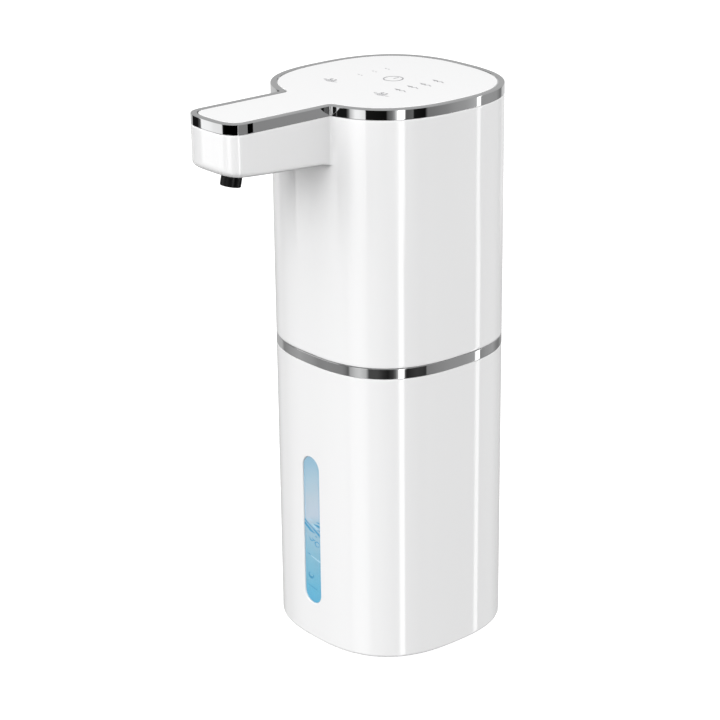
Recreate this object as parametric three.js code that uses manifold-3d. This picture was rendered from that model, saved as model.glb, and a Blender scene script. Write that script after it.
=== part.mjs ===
// Automatic foam soap dispenser, in millimetres, +Z up.
// The origin is on the floor plane, on the axis of the body. The spout points along -Y and the wall is at +Y.
// A tank stands on an anti-slip pad. A pump head with the spout lifts off it and hooks onto an adhesive
// wall plate.
import * as THREE from "three";
import { mergeVertices } from "three/addons/utils/BufferGeometryUtils.js";
import Module from "manifold-3d";

const wasm = await Module();
wasm.setup();

// ---------- driving dimensions ----------
const HALF_WIDTH = 37.8; // the body's plan is a superellipse
const HALF_DEPTH = 37.7;
const BODY_EXPONENT = 2.6;
const BODY_STEPS = 40;
const FILLET_STEPS = 3;
const WALL = 2.2;
const SEAM = 0.15; // gap at a visible joint line
const GAP = 0.3; // gap between pieces that rest on each other
const PAST = 1; // how far a cutting tool reaches past the surface it cuts

const TANK_BOTTOM = 0.4; // the anti-slip pad stands this far proud
const PAD_THICK = 1.2;
const PAD_INSET = 5;
const TANK_FLOOR = 2.4;
const BAND_BOTTOM = 109.1;
const BAND_TOP = 113.1;
const RIM_BOTTOM = 201.3;
const TOP = 205.1;
const RIM_WIDTH = 2;

const SPOUT_HALF_WIDTH = 13.45;
const SPOUT_TIP_Y = -78.7;
const SPOUT_TIP_DEPTH = 9.4; // length of the rounded end
const SPOUT_TIP_EXPONENT = 3.2;
const SPOUT_UNDER_AT_BODY = 184.4; // height of the sloping underside at the body
const SPOUT_UNDER_AT_TIP = 186.9;
const SPOUT_SLOPE = (SPOUT_UNDER_AT_TIP - SPOUT_UNDER_AT_BODY) / (-HALF_DEPTH - SPOUT_TIP_Y);
const JUNCTION_RADIUS = 1; // fillet in plan between spout and body

const NOZZLE_RADIUS = 3.6;
const NOZZLE_FOOT = new THREE.Vector3(0, -69.4, 180.5);
const NOZZLE_TILT = THREE.MathUtils.degToRad(12.5);
const OUTLET_Z = 195.2; // height of the hose inside the spout
const HOSE_RADIUS = 2.6;
const HOSE_BORE = 2;
const BARB_RADIUS = 1.6;
const BARB_BORE = 0.9;
const BARB_LENGTH = 3.8;
const SENSOR_Y = -50;

const WINDOW_WIDTH = 9.5;
const WINDOW_BOTTOM = 14.8;
const WINDOW_TOP = 73.6;
const WINDOW_FLANGE = 2;

const SHOULDER_DROP = 2.4; // from the top of the tank's wall down to the hollow below its neck
const NECK_INSET = 4.6; // the tank's neck, measured in from the outside
const NECK_WALL = 2;
const NECK_TOP = 116.3;
const TRAY_BOTTOM = 118.2; // the tray that closes the pump head
const TRAY_TOP = 120.6;
const FLOOR = TRAY_TOP + GAP; // where pieces stand on the tray
const SUCTION = new THREE.Vector2(10, 23);
const SUCTION_BOTTOM = 9;
const SCREW_OFFSET = 20.5;
const SCREW_HOLE = 1.6;

const PUMP = new THREE.Vector2(12, -3);
const PUMP_SIDE = 27;
const PUMP_CORNER = 3;
const BARB_Z = 129.5;
const CUP_CIRCLE = 6.8; // radius of the circle that the pump's three cups stand on
const MOTOR_RADIUS = 12.2;
const MOTOR_BOTTOM = 149.3;
const MOTOR_TOP = 178.6;
const SHAFT_RADIUS = 1;
const MAGNET_BOTTOM = 153;
const MAGNET_TOP = 173;

const BATTERY = new THREE.Vector2(-20, -4);
const BATTERY_RADIUS = 9.2;
const BATTERY_BOTTOM = 122.5;
const BATTERY_TOP = 186.9;
const PORT_Z = 125;
const PORT_WIDTH = 10.6;
const PORT_HEIGHT = 5;
const BOARD_THICK = 1.4;
const BOARD_Z = TOP - 7.4; // underside of the touch board
const POWER_Y = 3.4;
const LED_X = 13;
const LED_ROWS = [-6, 0.2, 5.9, 12.3];

const HOOK_BOTTOM = 161; // neck of the wall plate's hook
const HOOK_TOP = 165.6;
const HOOK_NECK = 2.4; // half-widths of the hook
const HOOK_KNOB = 4.6;
const KNOB_FRONT = HALF_DEPTH - 4.35;
const KNOB_BACK = HALF_DEPTH - 2.5;
const PLATE_HALF_WIDTH = 12;
const PLATE_BOTTOM = 144;
const PLATE_TOP = 180;
const TAPE_THICK = 0.8;
const WALL_Y = 41.6;

// ---------- materials ----------
const finish = (color, roughness, metalness = 0, extra = {}) =>
  new THREE.MeshStandardMaterial({ color, roughness, metalness, ...extra });
const whitePlastic = finish(0xf3f3f3, 0.16);
const chrome = finish(0xd8d8da, 0.06, 1);
const clearPlastic = finish(0x9cc7dc, 0.08, 0, { transparent: true, opacity: 0.4 });
const blackPlastic = finish(0x141414, 0.35);
const darkLens = finish(0x1a0f14, 0.1);
const rubber = finish(0x9a9d9f, 0.8);
const silicone = finish(0xe6e6e4, 0.6);
const hosePlastic = finish(0xdfe6e8, 0.35);
const boardGreen = finish(0x1d5c3a, 0.5);
const ledWhite = finish(0xf6f4e6, 0.3);
const zincSteel = finish(0x9fa3a6, 0.35, 1);
const ironCore = finish(0x5b5f63, 0.5, 1);
const magnetGrey = finish(0x3a3c3f, 0.7);
const pumpPlastic = finish(0xcfd3d2, 0.45);
const batteryWrap = finish(0x2b6cb0, 0.35);
const foamTape = finish(0xb8bcc0, 0.9);

// ---------- solids ----------
function solid(geometry) {
  const bare = geometry.index ? geometry.toNonIndexed() : geometry.clone();
  bare.deleteAttribute("normal");
  bare.deleteAttribute("uv");
  const merged = mergeVertices(bare, 1e-4);
  return new wasm.Manifold(
    new wasm.Mesh({
      numProp: 3,
      vertProperties: merged.attributes.position.array,
      triVerts: new Uint32Array(merged.index.array),
    }),
  );
}

function geometryOf(manifold) {
  const mesh = manifold.getMesh();
  const geometry = new THREE.BufferGeometry();
  geometry.setAttribute("position", new THREE.BufferAttribute(mesh.vertProperties, 3));
  geometry.setIndex(new THREE.BufferAttribute(mesh.triVerts, 1));
  geometry.computeVertexNormals();
  return geometry;
}

const join = (...parts) => parts.reduce((a, b) => a.add(b));
const cut = (body, ...tools) => tools.reduce((a, b) => a.subtract(b), body);

// A shape in the XY plane, raised from one height to another.
function slab(shape, bottom, top) {
  const geometry = new THREE.ExtrudeGeometry(shape, { depth: top - bottom, bevelEnabled: false });
  return solid(geometry.translate(0, 0, bottom));
}

// A shape drawn in X and Z, with thickness from one Y to another.
function slabAlongY(shape, from, to) {
  const geometry = new THREE.ExtrudeGeometry(shape, { depth: to - from, bevelEnabled: false });
  return solid(geometry.rotateX(Math.PI / 2).translate(0, to, 0));
}

// A shape drawn in Y and Z, with thickness from one X to another.
function slabAlongX(shape, from, to) {
  const geometry = new THREE.ExtrudeGeometry(shape, { depth: to - from, bevelEnabled: false });
  geometry.rotateX(Math.PI / 2).rotateZ(Math.PI / 2);
  return solid(geometry.translate(from, 0, 0));
}

function box(low, high) {
  const size = high.map((value, axis) => value - low[axis]);
  const geometry = new THREE.BoxGeometry(...size);
  return solid(geometry.translate(...low.map((value, axis) => value + size[axis] / 2)));
}

// An upright cylinder.
function rod(radius, bottom, top, x = 0, y = 0, sides = 16) {
  const geometry = new THREE.CylinderGeometry(radius, radius, top - bottom, sides);
  return solid(geometry.rotateX(Math.PI / 2).translate(x, y, (bottom + top) / 2));
}

// A cylinder lying along Y.
function rodAlongY(radius, from, to, x, z, sides = 12) {
  const geometry = new THREE.CylinderGeometry(radius, radius, to - from, sides);
  return solid(geometry.translate(x, (from + to) / 2, z));
}

// A solid turned about +Z from a profile of [radius, height] points that starts and ends on the axis.
function turned(profile, sides = 20) {
  const points = profile.map(([radius, height]) => new THREE.Vector2(radius, height));
  return solid(new THREE.LatheGeometry(points, sides).rotateX(Math.PI / 2));
}

// A bored hose along a smooth curve through the points.
function hose(points, outer, bore, steps, sides = 8) {
  const section = new THREE.Shape(ring(outer, sides));
  section.holes.push(new THREE.Path(ring(bore, sides)));
  const extrudePath = new THREE.CatmullRomCurve3(points.map((p) => new THREE.Vector3(...p)));
  return new THREE.ExtrudeGeometry(section, { steps, extrudePath });
}

function ring(radius, sides) {
  return Array.from({ length: sides }, (_, i) => {
    const angle = (2 * Math.PI * i) / sides;
    return new THREE.Vector2(radius * Math.cos(angle), radius * Math.sin(angle));
  });
}

// ---------- outlines ----------
function superellipsePoint(halfX, halfY, exponent, angle) {
  const c = Math.abs(Math.cos(angle) / halfX) ** exponent;
  const s = Math.abs(Math.sin(angle) / halfY) ** exponent;
  const radius = (c + s) ** (-1 / exponent);
  return new THREE.Vector2(radius * Math.cos(angle), radius * Math.sin(angle));
}

function superellipse(halfX, halfY, exponent, start, end, steps) {
  return Array.from({ length: steps + 1 }, (_, i) =>
    superellipsePoint(halfX, halfY, exponent, start + ((end - start) * i) / steps),
  );
}

// The body's plan, moved inwards. A negative inset moves it outwards.
function bodyShape(inset = 0) {
  const [a, b] = [HALF_WIDTH - inset, HALF_DEPTH - inset];
  return new THREE.Shape(superellipse(a, b, BODY_EXPONENT, 0, 2 * Math.PI, BODY_STEPS).slice(0, -1));
}

function bodyRing(outerInset, innerInset) {
  const shape = bodyShape(outerInset);
  shape.holes.push(bodyShape(innerInset));
  return shape;
}

function outwardNormal(halfX, halfY, point) {
  const x = Math.sign(point.x) * (Math.abs(point.x) / halfX) ** (BODY_EXPONENT - 1) / halfX;
  const y = Math.sign(point.y) * (Math.abs(point.y) / halfY) ** (BODY_EXPONENT - 1) / halfY;
  return new THREE.Vector2(x, y).normalize();
}

// The fillet in plan on the +X side, found by halving the span of angles where it can touch the body.
function junctionFillet(inset) {
  const [a, b] = [HALF_WIDTH - inset, HALF_DEPTH - inset];
  const radius = JUNCTION_RADIUS + inset;
  const centreX = SPOUT_HALF_WIDTH - inset + radius;
  let [low, high] = [-Math.PI / 2, -Math.PI / 6];
  let angle, touch, normal;
  for (let i = 0; i < 40; i++) {
    angle = (low + high) / 2;
    touch = superellipsePoint(a, b, BODY_EXPONENT, angle);
    normal = outwardNormal(a, b, touch);
    if (touch.x + radius * normal.x < centreX) low = angle;
    else high = angle;
  }
  const centre = touch.addScaledVector(normal, radius);
  const end = Math.atan2(-normal.y, -normal.x);
  const points = Array.from({ length: FILLET_STEPS }, (_, i) => {
    const turn = Math.PI + ((end - Math.PI) * i) / FILLET_STEPS;
    return new THREE.Vector2(centre.x + radius * Math.cos(turn), centre.y + radius * Math.sin(turn));
  });
  return { angle, points };
}

// The plan of body and spout together, moved inwards.
function headShape(inset = 0) {
  const { angle, points: fillet } = junctionFillet(inset);
  const [a, b] = [HALF_WIDTH - inset, HALF_DEPTH - inset];
  const around = superellipse(a, b, BODY_EXPONENT, angle, Math.PI - angle, BODY_STEPS - 4);
  const mirrored = fillet.map((p) => new THREE.Vector2(-p.x, p.y)).reverse();
  const [halfWidth, depth] = [SPOUT_HALF_WIDTH - inset, SPOUT_TIP_DEPTH - inset];
  const end = superellipse(halfWidth, depth, SPOUT_TIP_EXPONENT, Math.PI, 2 * Math.PI, 12);
  const tip = end.map((p) => new THREE.Vector2(p.x, p.y + SPOUT_TIP_Y + SPOUT_TIP_DEPTH));
  return new THREE.Shape([...around, ...mirrored, ...tip, ...fillet]);
}

function headRing(outerInset, innerInset) {
  const shape = headShape(outerInset);
  shape.holes.push(headShape(innerInset));
  return shape;
}

function roundedRectangle(width, height, radius, x = 0, y = 0) {
  const [w, h] = [width / 2, height / 2];
  const shape = new THREE.Shape();
  shape.moveTo(x - w + radius, y - h);
  shape.lineTo(x + w - radius, y - h);
  shape.absarc(x + w - radius, y - h + radius, radius, -Math.PI / 2, 0);
  shape.absarc(x + w - radius, y + h - radius, radius, 0, Math.PI / 2);
  shape.absarc(x - w + radius, y + h - radius, radius, Math.PI / 2, Math.PI);
  shape.absarc(x - w + radius, y - h + radius, radius, Math.PI, 1.5 * Math.PI);
  return new THREE.Shape(shape.getPoints(2));
}

const polygon = (points) => new THREE.Shape(points.map(([x, y]) => new THREE.Vector2(x, y)));

// Height of the spout's underside at a place along the spout.
const underZ = (y) => SPOUT_UNDER_AT_BODY + SPOUT_SLOPE * (-HALF_DEPTH - y);

// Everything under the spout's sloping underside, raised by an offset.
function underSpout(offset) {
  const [front, back, floor] = [SPOUT_TIP_Y - 10, 20, 150];
  const side = polygon([
    [front, floor], [back, floor], [back, underZ(back) + offset], [front, underZ(front) + offset],
  ]);
  return slabAlongX(side, -HALF_WIDTH - PAST, HALF_WIDTH + PAST);
}

// ---------- scene graph ----------
const dispenser = new THREE.Group();

function group(parent, x = 0, y = 0, z = 0) {
  const made = new THREE.Group();
  made.position.set(x, y, z);
  parent.add(made);
  return made;
}

function piece(parent, name, shape, material) {
  const geometry = shape.isBufferGeometry ? shape : geometryOf(shape);
  const mesh = new THREE.Mesh(geometry, material);
  mesh.name = name;
  parent.add(mesh);
  return mesh;
}

const corners = [[1, 1], [-1, 1], [-1, -1], [1, -1]];
const atCorners = (make) => corners.map(([x, y]) => make(x * SCREW_OFFSET, y * SCREW_OFFSET, x, y));

// ---------- tank ----------
function windowShape(grow) {
  const width = WINDOW_WIDTH + 2 * grow;
  const height = WINDOW_TOP - WINDOW_BOTTOM + 2 * grow;
  return roundedRectangle(width, height, width / 2 - 0.01, 0, (WINDOW_TOP + WINDOW_BOTTOM) / 2);
}

function buildTank() {
  const tank = group(dispenser);
  const top = BAND_BOTTOM - SEAM;
  const shoulder = top - SHOULDER_DROP;
  const frontOnly = (grow) => slabAlongY(windowShape(grow), -HALF_DEPTH - PAST, 0);
  const shell = cut(
    join(slab(bodyShape(), TANK_BOTTOM, top), slab(bodyShape(NECK_INSET), shoulder, NECK_TOP)),
    slab(bodyShape(WALL), TANK_BOTTOM + TANK_FLOOR, shoulder),
    slab(bodyShape(NECK_INSET + NECK_WALL), shoulder - PAST, NECK_TOP + PAST),
    frontOnly(0),
    slab(bodyShape(PAD_INSET - GAP), 0, PAD_THICK + GAP),
  );
  piece(tank, "tank_shell", shell, whitePlastic);

  // The window's plug fills the slot flush with the wall, and its flange is welded behind the wall.
  const flangeFront = WALL + 0.2;
  const flangeBack = flangeFront + 1.2;
  const wallBand = (outer, inner) =>
    slab(bodyRing(outer, inner), WINDOW_BOTTOM - 2 * WINDOW_FLANGE, WINDOW_TOP + 2 * WINDOW_FLANGE);
  const lens = join(
    frontOnly(WINDOW_FLANGE).intersect(wallBand(flangeFront, flangeBack)),
    frontOnly(-SEAM).intersect(wallBand(0, flangeBack)),
  );
  piece(tank, "level_window", lens, clearPlastic);

  piece(tank, "base_pad", slab(bodyShape(PAD_INSET), 0, PAD_THICK), rubber);
}

// ---------- pump head: casing ----------
// A tower for each screw of the tray, tied to the wall by a rib.
function screwTowers() {
  const [top, radius, ribLength, ribWidth, reach] = [134, 3.2, 12, 2, 4.6];
  return atCorners((x, y, sideX, sideY) => {
    const rib = slab(roundedRectangle(ribLength, ribWidth, 0.9), FLOOR, top)
      .rotate([0, 0, THREE.MathUtils.radToDeg(Math.atan2(sideY, sideX))])
      .translate([x + sideX * reach, y + sideY * reach, 0]);
    return join(rod(radius, FLOOR, top, x, y, 10), rib).intersect(slab(bodyShape(1), FLOOR, top));
  });
}

// A keyhole in the back wall takes the wall plate's hook, with a closed pocket behind it.
function keyhole() {
  const inside = HALF_DEPTH - WALL;
  const [halfWidth, bottom, top, depth, skin] = [7.1, 145.4, 168.8, 4.2, 1.5];
  const [entryHalfWidth, entryBottom, entryTop] = [5.2, 147.2, 155];
  const slotHalfWidth = HOOK_NECK + 0.5;
  const pocket = box([-halfWidth, inside - depth, bottom], [halfWidth, inside + PAST, top]);
  const hollow = box(
    [-halfWidth + skin, inside - depth + skin, bottom + skin],
    [halfWidth - skin, inside + 0.2, top - skin],
  );
  const holes = [
    box([-entryHalfWidth, inside - 0.2, entryBottom], [entryHalfWidth, HALF_DEPTH + PAST, entryTop]),
    box([-slotHalfWidth, inside - 0.2, entryTop - PAST], [slotHalfWidth, HALF_DEPTH + PAST, HOOK_TOP + GAP]),
  ];
  return { pocket, hollow, holes };
}

function buildCasing(head) {
  const spoutFloor = 175; // below the spout, inside the body
  const outer = join(
    slab(bodyShape(), BAND_TOP, RIM_BOTTOM),
    cut(slab(headShape(), spoutFloor, RIM_BOTTOM), underSpout(0)),
  );
  const inner = join(
    slab(bodyShape(WALL), BAND_TOP - PAST, RIM_BOTTOM + PAST),
    cut(slab(headShape(WALL), spoutFloor, RIM_BOTTOM + PAST), underSpout(WALL)),
  );
  const { pocket, hollow, holes } = keyhole();
  const pilots = atCorners((x, y) => rod(1.4, FLOOR - PAST, 131, x, y, 8));
  const portShape = roundedRectangle(PORT_WIDTH, PORT_HEIGHT, 2.3, 0, PORT_Z);
  const port = slabAlongY(portShape, HALF_DEPTH - WALL - PAST, HALF_DEPTH + PAST);
  const nozzleHole = tilted(rod(NOZZLE_RADIUS + GAP, 3, 11));
  const eye = slab(roundedRectangle(10.6, 5.6, 2.6, 0, SENSOR_Y), spoutFloor, underZ(SENSOR_Y) + 2 * WALL);
  const shell = cut(
    join(cut(outer, inner), ...screwTowers(), pocket),
    hollow, ...holes, port, nozzleHole, eye, ...pilots,
  );
  piece(head, "head_shell", shell, whitePlastic);

  piece(head, "mid_band", slab(bodyRing(0, 2.1), BAND_BOTTOM, BAND_TOP - SEAM), chrome);
  piece(head, "top_rim", slab(headRing(0, RIM_WIDTH), RIM_BOTTOM + SEAM, TOP), chrome);

  // The touch panel drops into the rim, and its skirt lines the casing.
  const [sheetBottom, skirtBottom] = [TOP - 2.6, TOP - 5.6];
  const plate = join(
    slab(headShape(RIM_WIDTH + 0.25), sheetBottom, TOP - 0.1),
    slab(headRing(WALL + 0.4, WALL + 1.6), skirtBottom, sheetBottom + 0.5),
  );
  piece(head, "top_plate", plate, whitePlastic);
}

// ---------- pump head: tray, seal, suction line ----------
function buildTray(head) {
  const nippleBottom = 111;
  const nipple = rod(BARB_RADIUS + 0.1, nippleBottom, 124.5, SUCTION.x, SUCTION.y, 14);
  const nippleBore = rod(1, nippleBottom - PAST, 126, SUCTION.x, SUCTION.y, 10);
  const screwHoles = atCorners((x, y) => rod(SCREW_HOLE, TRAY_BOTTOM - PAST, TRAY_TOP + PAST, x, y, 10));
  const tray = cut(
    join(
      slab(bodyShape(WALL + GAP), TRAY_BOTTOM, TRAY_TOP),
      slab(bodyRing(WALL + GAP, NECK_INSET - 0.4), BAND_BOTTOM + 0.4, TRAY_BOTTOM + 0.5),
      nipple,
    ),
    nippleBore, ...screwHoles,
  );
  piece(head, "head_base", tray, pumpPlastic);

  const gasket = slab(bodyRing(NECK_INSET + 0.1, NECK_INSET + 1.9), NECK_TOP + GAP, TRAY_BOTTOM - GAP);
  piece(head, "tank_gasket", gasket, silicone);

  atCorners((x, y) => [x, y]).forEach(([x, y], i) => {
    const screw = turned([[0, -2], [1.8, -2], [2.6, -1.2], [2.6, 0], [1.15, 0], [1.15, 9], [0, 10]], 10);
    const cross = [box([-1.5, -0.3, -2.5], [1.5, 0.3, -1.2]), box([-0.3, -1.5, -2.5], [0.3, 1.5, -1.2])];
    const mesh = piece(head, `base_screw_${i + 1}`, cut(screw, ...cross), zincSteel);
    mesh.position.set(x, y, TRAY_BOTTOM - 0.1);
  });

  const line = group(head, SUCTION.x, SUCTION.y);
  const tube = cut(
    rod(3, SUCTION_BOTTOM, TRAY_BOTTOM - GAP),
    rod(2.1, SUCTION_BOTTOM - PAST, TRAY_BOTTOM),
  );
  piece(line, "suction_tube", tube, hosePlastic);
  const slots = [0, 60, 120].map((turn) => box([-6, -0.6, 5.2], [6, 0.6, 7.6]).rotate([0, 0, turn]));
  const [strainerBottom, strainerTop, strainerBore] = [4, 17, 3.3];
  const strainer = cut(
    rod(5, strainerBottom, strainerTop, 0, 0, 20),
    rod(strainerBore, strainerBottom + 1, strainerTop + PAST),
    ...slots,
  );
  piece(line, "suction_filter", strainer, pumpPlastic);
}

// ---------- pump head: spout contents ----------
const tilted = (shape) =>
  shape.rotate([-THREE.MathUtils.radToDeg(NOZZLE_TILT), 0, 0]).translate(NOZZLE_FOOT.toArray());

function buildNozzle(head) {
  const [flangeBottom, flangeTop, neckRadius, height] = [9.5, 10.8, 4, 16.6];
  const outside = turned([
    [0, 0], [NOZZLE_RADIUS - 0.3, 0], [NOZZLE_RADIUS, 0.3], [NOZZLE_RADIUS, flangeBottom],
    [5.2, flangeBottom], [5.2, flangeTop], [neckRadius, flangeTop], [neckRadius, height], [0, height],
  ]);
  const [barbStart, barbEnd] = [-68, -56.5];
  const nozzle = cut(
    join(tilted(outside), rodAlongY(BARB_RADIUS, barbStart, barbEnd, 0, OUTLET_Z)),
    tilted(rod(2.7, -PAST, 3)),
    tilted(rod(1.3, 2, 15, 0, 0, 12)),
    rodAlongY(BARB_BORE, barbStart + 1.5, barbEnd + PAST, 0, OUTLET_Z, 10),
  );
  piece(head, "nozzle_body", nozzle, blackPlastic);
  const mesh = piece(head, "foam_mesh", rod(2.4, 1, 2, 0, 0, 18), zincSteel);
  mesh.position.copy(NOZZLE_FOOT);
  mesh.rotation.x = -NOZZLE_TILT;
}

function buildHoses(head) {
  const toNozzle = [
    [0, -61.8, OUTLET_Z], [0, -51, OUTLET_Z], [0, -41, OUTLET_Z], [0.3, -34.6, OUTLET_Z - 1.8],
    [1, -30.8, OUTLET_Z - 7], [2, -29, 180], [4, -28.6, 158], [7.5, -28.2, 140], [11, -26.2, 132],
    [PUMP.x, -22.2, BARB_Z], [PUMP.x, -16.8, BARB_Z],
  ];
  piece(head, "outlet_hose", hose(toNozzle, HOSE_RADIUS, HOSE_BORE, 24), hosePlastic);
  const fromTank = [
    [SUCTION.x, SUCTION.y, FLOOR], [SUCTION.x, SUCTION.y, 124.8], [10.6, 21.2, 128.3],
    [11.8, 17.4, BARB_Z], [PUMP.x, 14.6, BARB_Z], [PUMP.x, 10.9, BARB_Z],
  ];
  piece(head, "inlet_hose", hose(fromTank, HOSE_RADIUS, HOSE_BORE, 10), hosePlastic);
}

function buildSensor(head) {
  const eye = group(head, 0, SENSOR_Y, underZ(SENSOR_Y));
  const lens = piece(eye, "sensor_window", slab(roundedRectangle(10, 5, 2.4), 0, 1.8), darkLens);
  lens.position.z = 0.05;
  lens.rotation.x = -Math.atan(SPOUT_SLOPE);
  const lamp = turned([[0, 0], [0.9, 0.2], [1.4, 0.9], [1.4, 2.2], [0, 2.2]], 14);
  [["ir_emitter", -2.6], ["ir_receiver", 2.6]].forEach(([name, x]) => {
    piece(eye, name, lamp, darkLens).position.set(x, 0, 2.7);
  });
  piece(eye, "sensor_board", box([-7.5, -4.5, 5.1], [7.5, 4.5, 6.1]), boardGreen);
}

// ---------- pump head: touch panel ----------
function buildTouchPanel(head) {
  piece(head, "touch_board", slab(bodyShape(8), BOARD_Z, BOARD_Z + BOARD_THICK), boardGreen);
  const top = BOARD_Z + BOARD_THICK + 0.2;
  const guide = cut(rod(4.6, 0, 2.9, 0, 0, 24), rod(3, -PAST, 2, 0, 0, 20));
  piece(head, "power_light_guide", guide, ledWhite).position.set(0, POWER_Y, top);
  LED_ROWS.forEach((y, i) => {
    const lamp = box([-1.5, -0.8, 0], [1.5, 0.8, 0.8]);
    piece(head, `level_led_${i + 1}`, lamp, ledWhite).position.set(LED_X, y, top);
  });
}

// ---------- pump head: power and control ----------
function buildBattery(head) {
  const cell = group(head, BATTERY.x, BATTERY.y);
  const terminal = BATTERY_TOP + 1.1;
  const body = turned([
    [0, BATTERY_BOTTOM], [BATTERY_RADIUS, BATTERY_BOTTOM], [BATTERY_RADIUS, BATTERY_TOP],
    [3, BATTERY_TOP], [3, terminal], [0, terminal],
  ], 28);
  piece(cell, "battery_cell", body, batteryWrap);
  const [holderRadius, holderTop] = [11, 156];
  const holderFloor = BATTERY_BOTTOM - GAP;
  const sleeve = cut(
    rod(holderRadius, FLOOR, holderTop, 0, 0, 24),
    rod(BATTERY_RADIUS + 0.4, holderFloor, holderTop + PAST, 0, 0, 24),
  );
  const mouth = box([4, -12, holderFloor], [12, 12, holderTop + PAST]);
  piece(cell, "battery_holder", cut(sleeve, mouth), pumpPlastic);
}

function buildBoards(head) {
  const [boardLeft, boardRight, boardTop] = [-7.6, -6, 172];
  piece(head, "main_board", box([boardLeft, -14, 121.2], [boardRight, 12, boardTop]), boardGreen);
  piece(head, "control_chip", box([-5.8, -4, 140], [-4.4, 4, 148]), blackPlastic);
  piece(head, "charge_board", box([-16, 15.5, 121.8], [5.4, 32.4, 123.2]), boardGreen);
  const socketBody = slabAlongY(roundedRectangle(9, 3.2, 1.5, 0, PORT_Z), 27.6, 34.8);
  const socketMouth = slabAlongY(roundedRectangle(8.2, 2.4, 1.1, 0, PORT_Z), 28.6, 34.8 + PAST);
  piece(head, "usb_socket", cut(socketBody, socketMouth), zincSteel);

  // A flat ribbon from the touch board down to the main board.
  const ribbonTop = BOARD_Z - GAP;
  const ribbonBottom = boardTop + GAP;
  const ribbonSide = polygon([
    [-10.2, ribbonTop], [-10.2, ribbonTop - 0.6], [-7, ribbonTop - 7], [-7, ribbonBottom],
    [-6.4, ribbonBottom], [-6.4, ribbonTop - 6.8], [-9.4, ribbonTop - 0.6], [-9.4, ribbonTop],
  ]);
  piece(head, "ribbon_cable", slabAlongY(ribbonSide, -4, 4), ledWhite);
}

// ---------- pump ----------
const spokes = [90, 210, 330];

function onCupCircle(turn) {
  const angle = THREE.MathUtils.degToRad(turn);
  return [CUP_CIRCLE * Math.cos(angle), CUP_CIRCLE * Math.sin(angle)];
}

function buildPump(pump) {
  const block = (side, bottom, top) => slab(roundedRectangle(side, side, PUMP_CORNER), bottom, top);
  piece(pump, "pump_cushion", block(24, FLOOR, 122.9), rubber);

  const face = PUMP_SIDE / 2;
  const body = join(
    block(PUMP_SIDE, 123.2, 131.8),
    rodAlongY(BARB_RADIUS, face - 1, face + BARB_LENGTH, 0, BARB_Z),
    rodAlongY(BARB_RADIUS, -face - BARB_LENGTH, -face + 1, 0, BARB_Z),
  );
  const reach = face + BARB_LENGTH + PAST;
  const bores = [
    rodAlongY(BARB_BORE, face - 4, reach, 0, BARB_Z, 10),
    rodAlongY(BARB_BORE, -reach, -face + 4, 0, BARB_Z, 10),
  ];
  piece(pump, "pump_head", cut(body, ...bores), pumpPlastic);

  const cups = spokes.map((turn) => rod(3.4, 133, 137, ...onCupCircle(turn), 16));
  piece(pump, "pump_diaphragm", join(block(26.4, 132, 133.6), ...cups), silicone);
  const [frameBottom, frameRoof, frameTop] = [133.9, 147, 149];
  const frame = cut(
    block(PUMP_SIDE, frameBottom, frameTop),
    rod(12.2, frameBottom - PAST, frameRoof, 0, 0, 24),
    rod(3.4, frameRoof - PAST, frameTop + PAST),
  );
  piece(pump, "pump_frame", frame, pumpPlastic);

  const [armBottom, armTop] = [138.3, 140];
  const arms = spokes.map((turn) => {
    const arm = box([2.4, -1.6, armBottom], [CUP_CIRCLE, 1.6, armTop]).rotate([0, 0, turn]);
    return join(arm, rod(2.6, armBottom, armTop, ...onCupCircle(turn), 14));
  });
  const wobble = cut(join(rod(3.8, 138, 141), ...arms), rod(2, 137, 142, 0, 0, 14));
  piece(pump, "wobble_plate", wobble, pumpPlastic);
}

// ---------- motor ----------
// The drive pin leans about the wobble plate's centre, and the wheel that turns it is bored to match.
function buildDrive(pump) {
  const [pinTilt, centreZ] = [5, 139.3];
  const pin = (radius, bottom, top) =>
    rod(radius, bottom - centreZ, top - centreZ, 0, 0, 10)
      .rotate([0, pinTilt, 0])
      .translate([0, 0, centreZ]);
  piece(pump, "drive_pin", pin(0.8, 138, 144), zincSteel);
  const [wheelBottom, wheelTop, shaftBottom] = [141.8, 146.2, 144.6];
  const wheel = cut(
    rod(5, wheelBottom, wheelTop, 0, 0, 22),
    pin(1.1, wheelBottom - 2, 144.4),
    rod(SHAFT_RADIUS + GAP, shaftBottom - 0.5, wheelTop + PAST, 0, 0, 14),
  );
  piece(pump, "eccentric_wheel", wheel, pumpPlastic);
  piece(pump, "motor_shaft", rod(SHAFT_RADIUS, shaftBottom, 180, 0, 0, 14), zincSteel);
}

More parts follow.
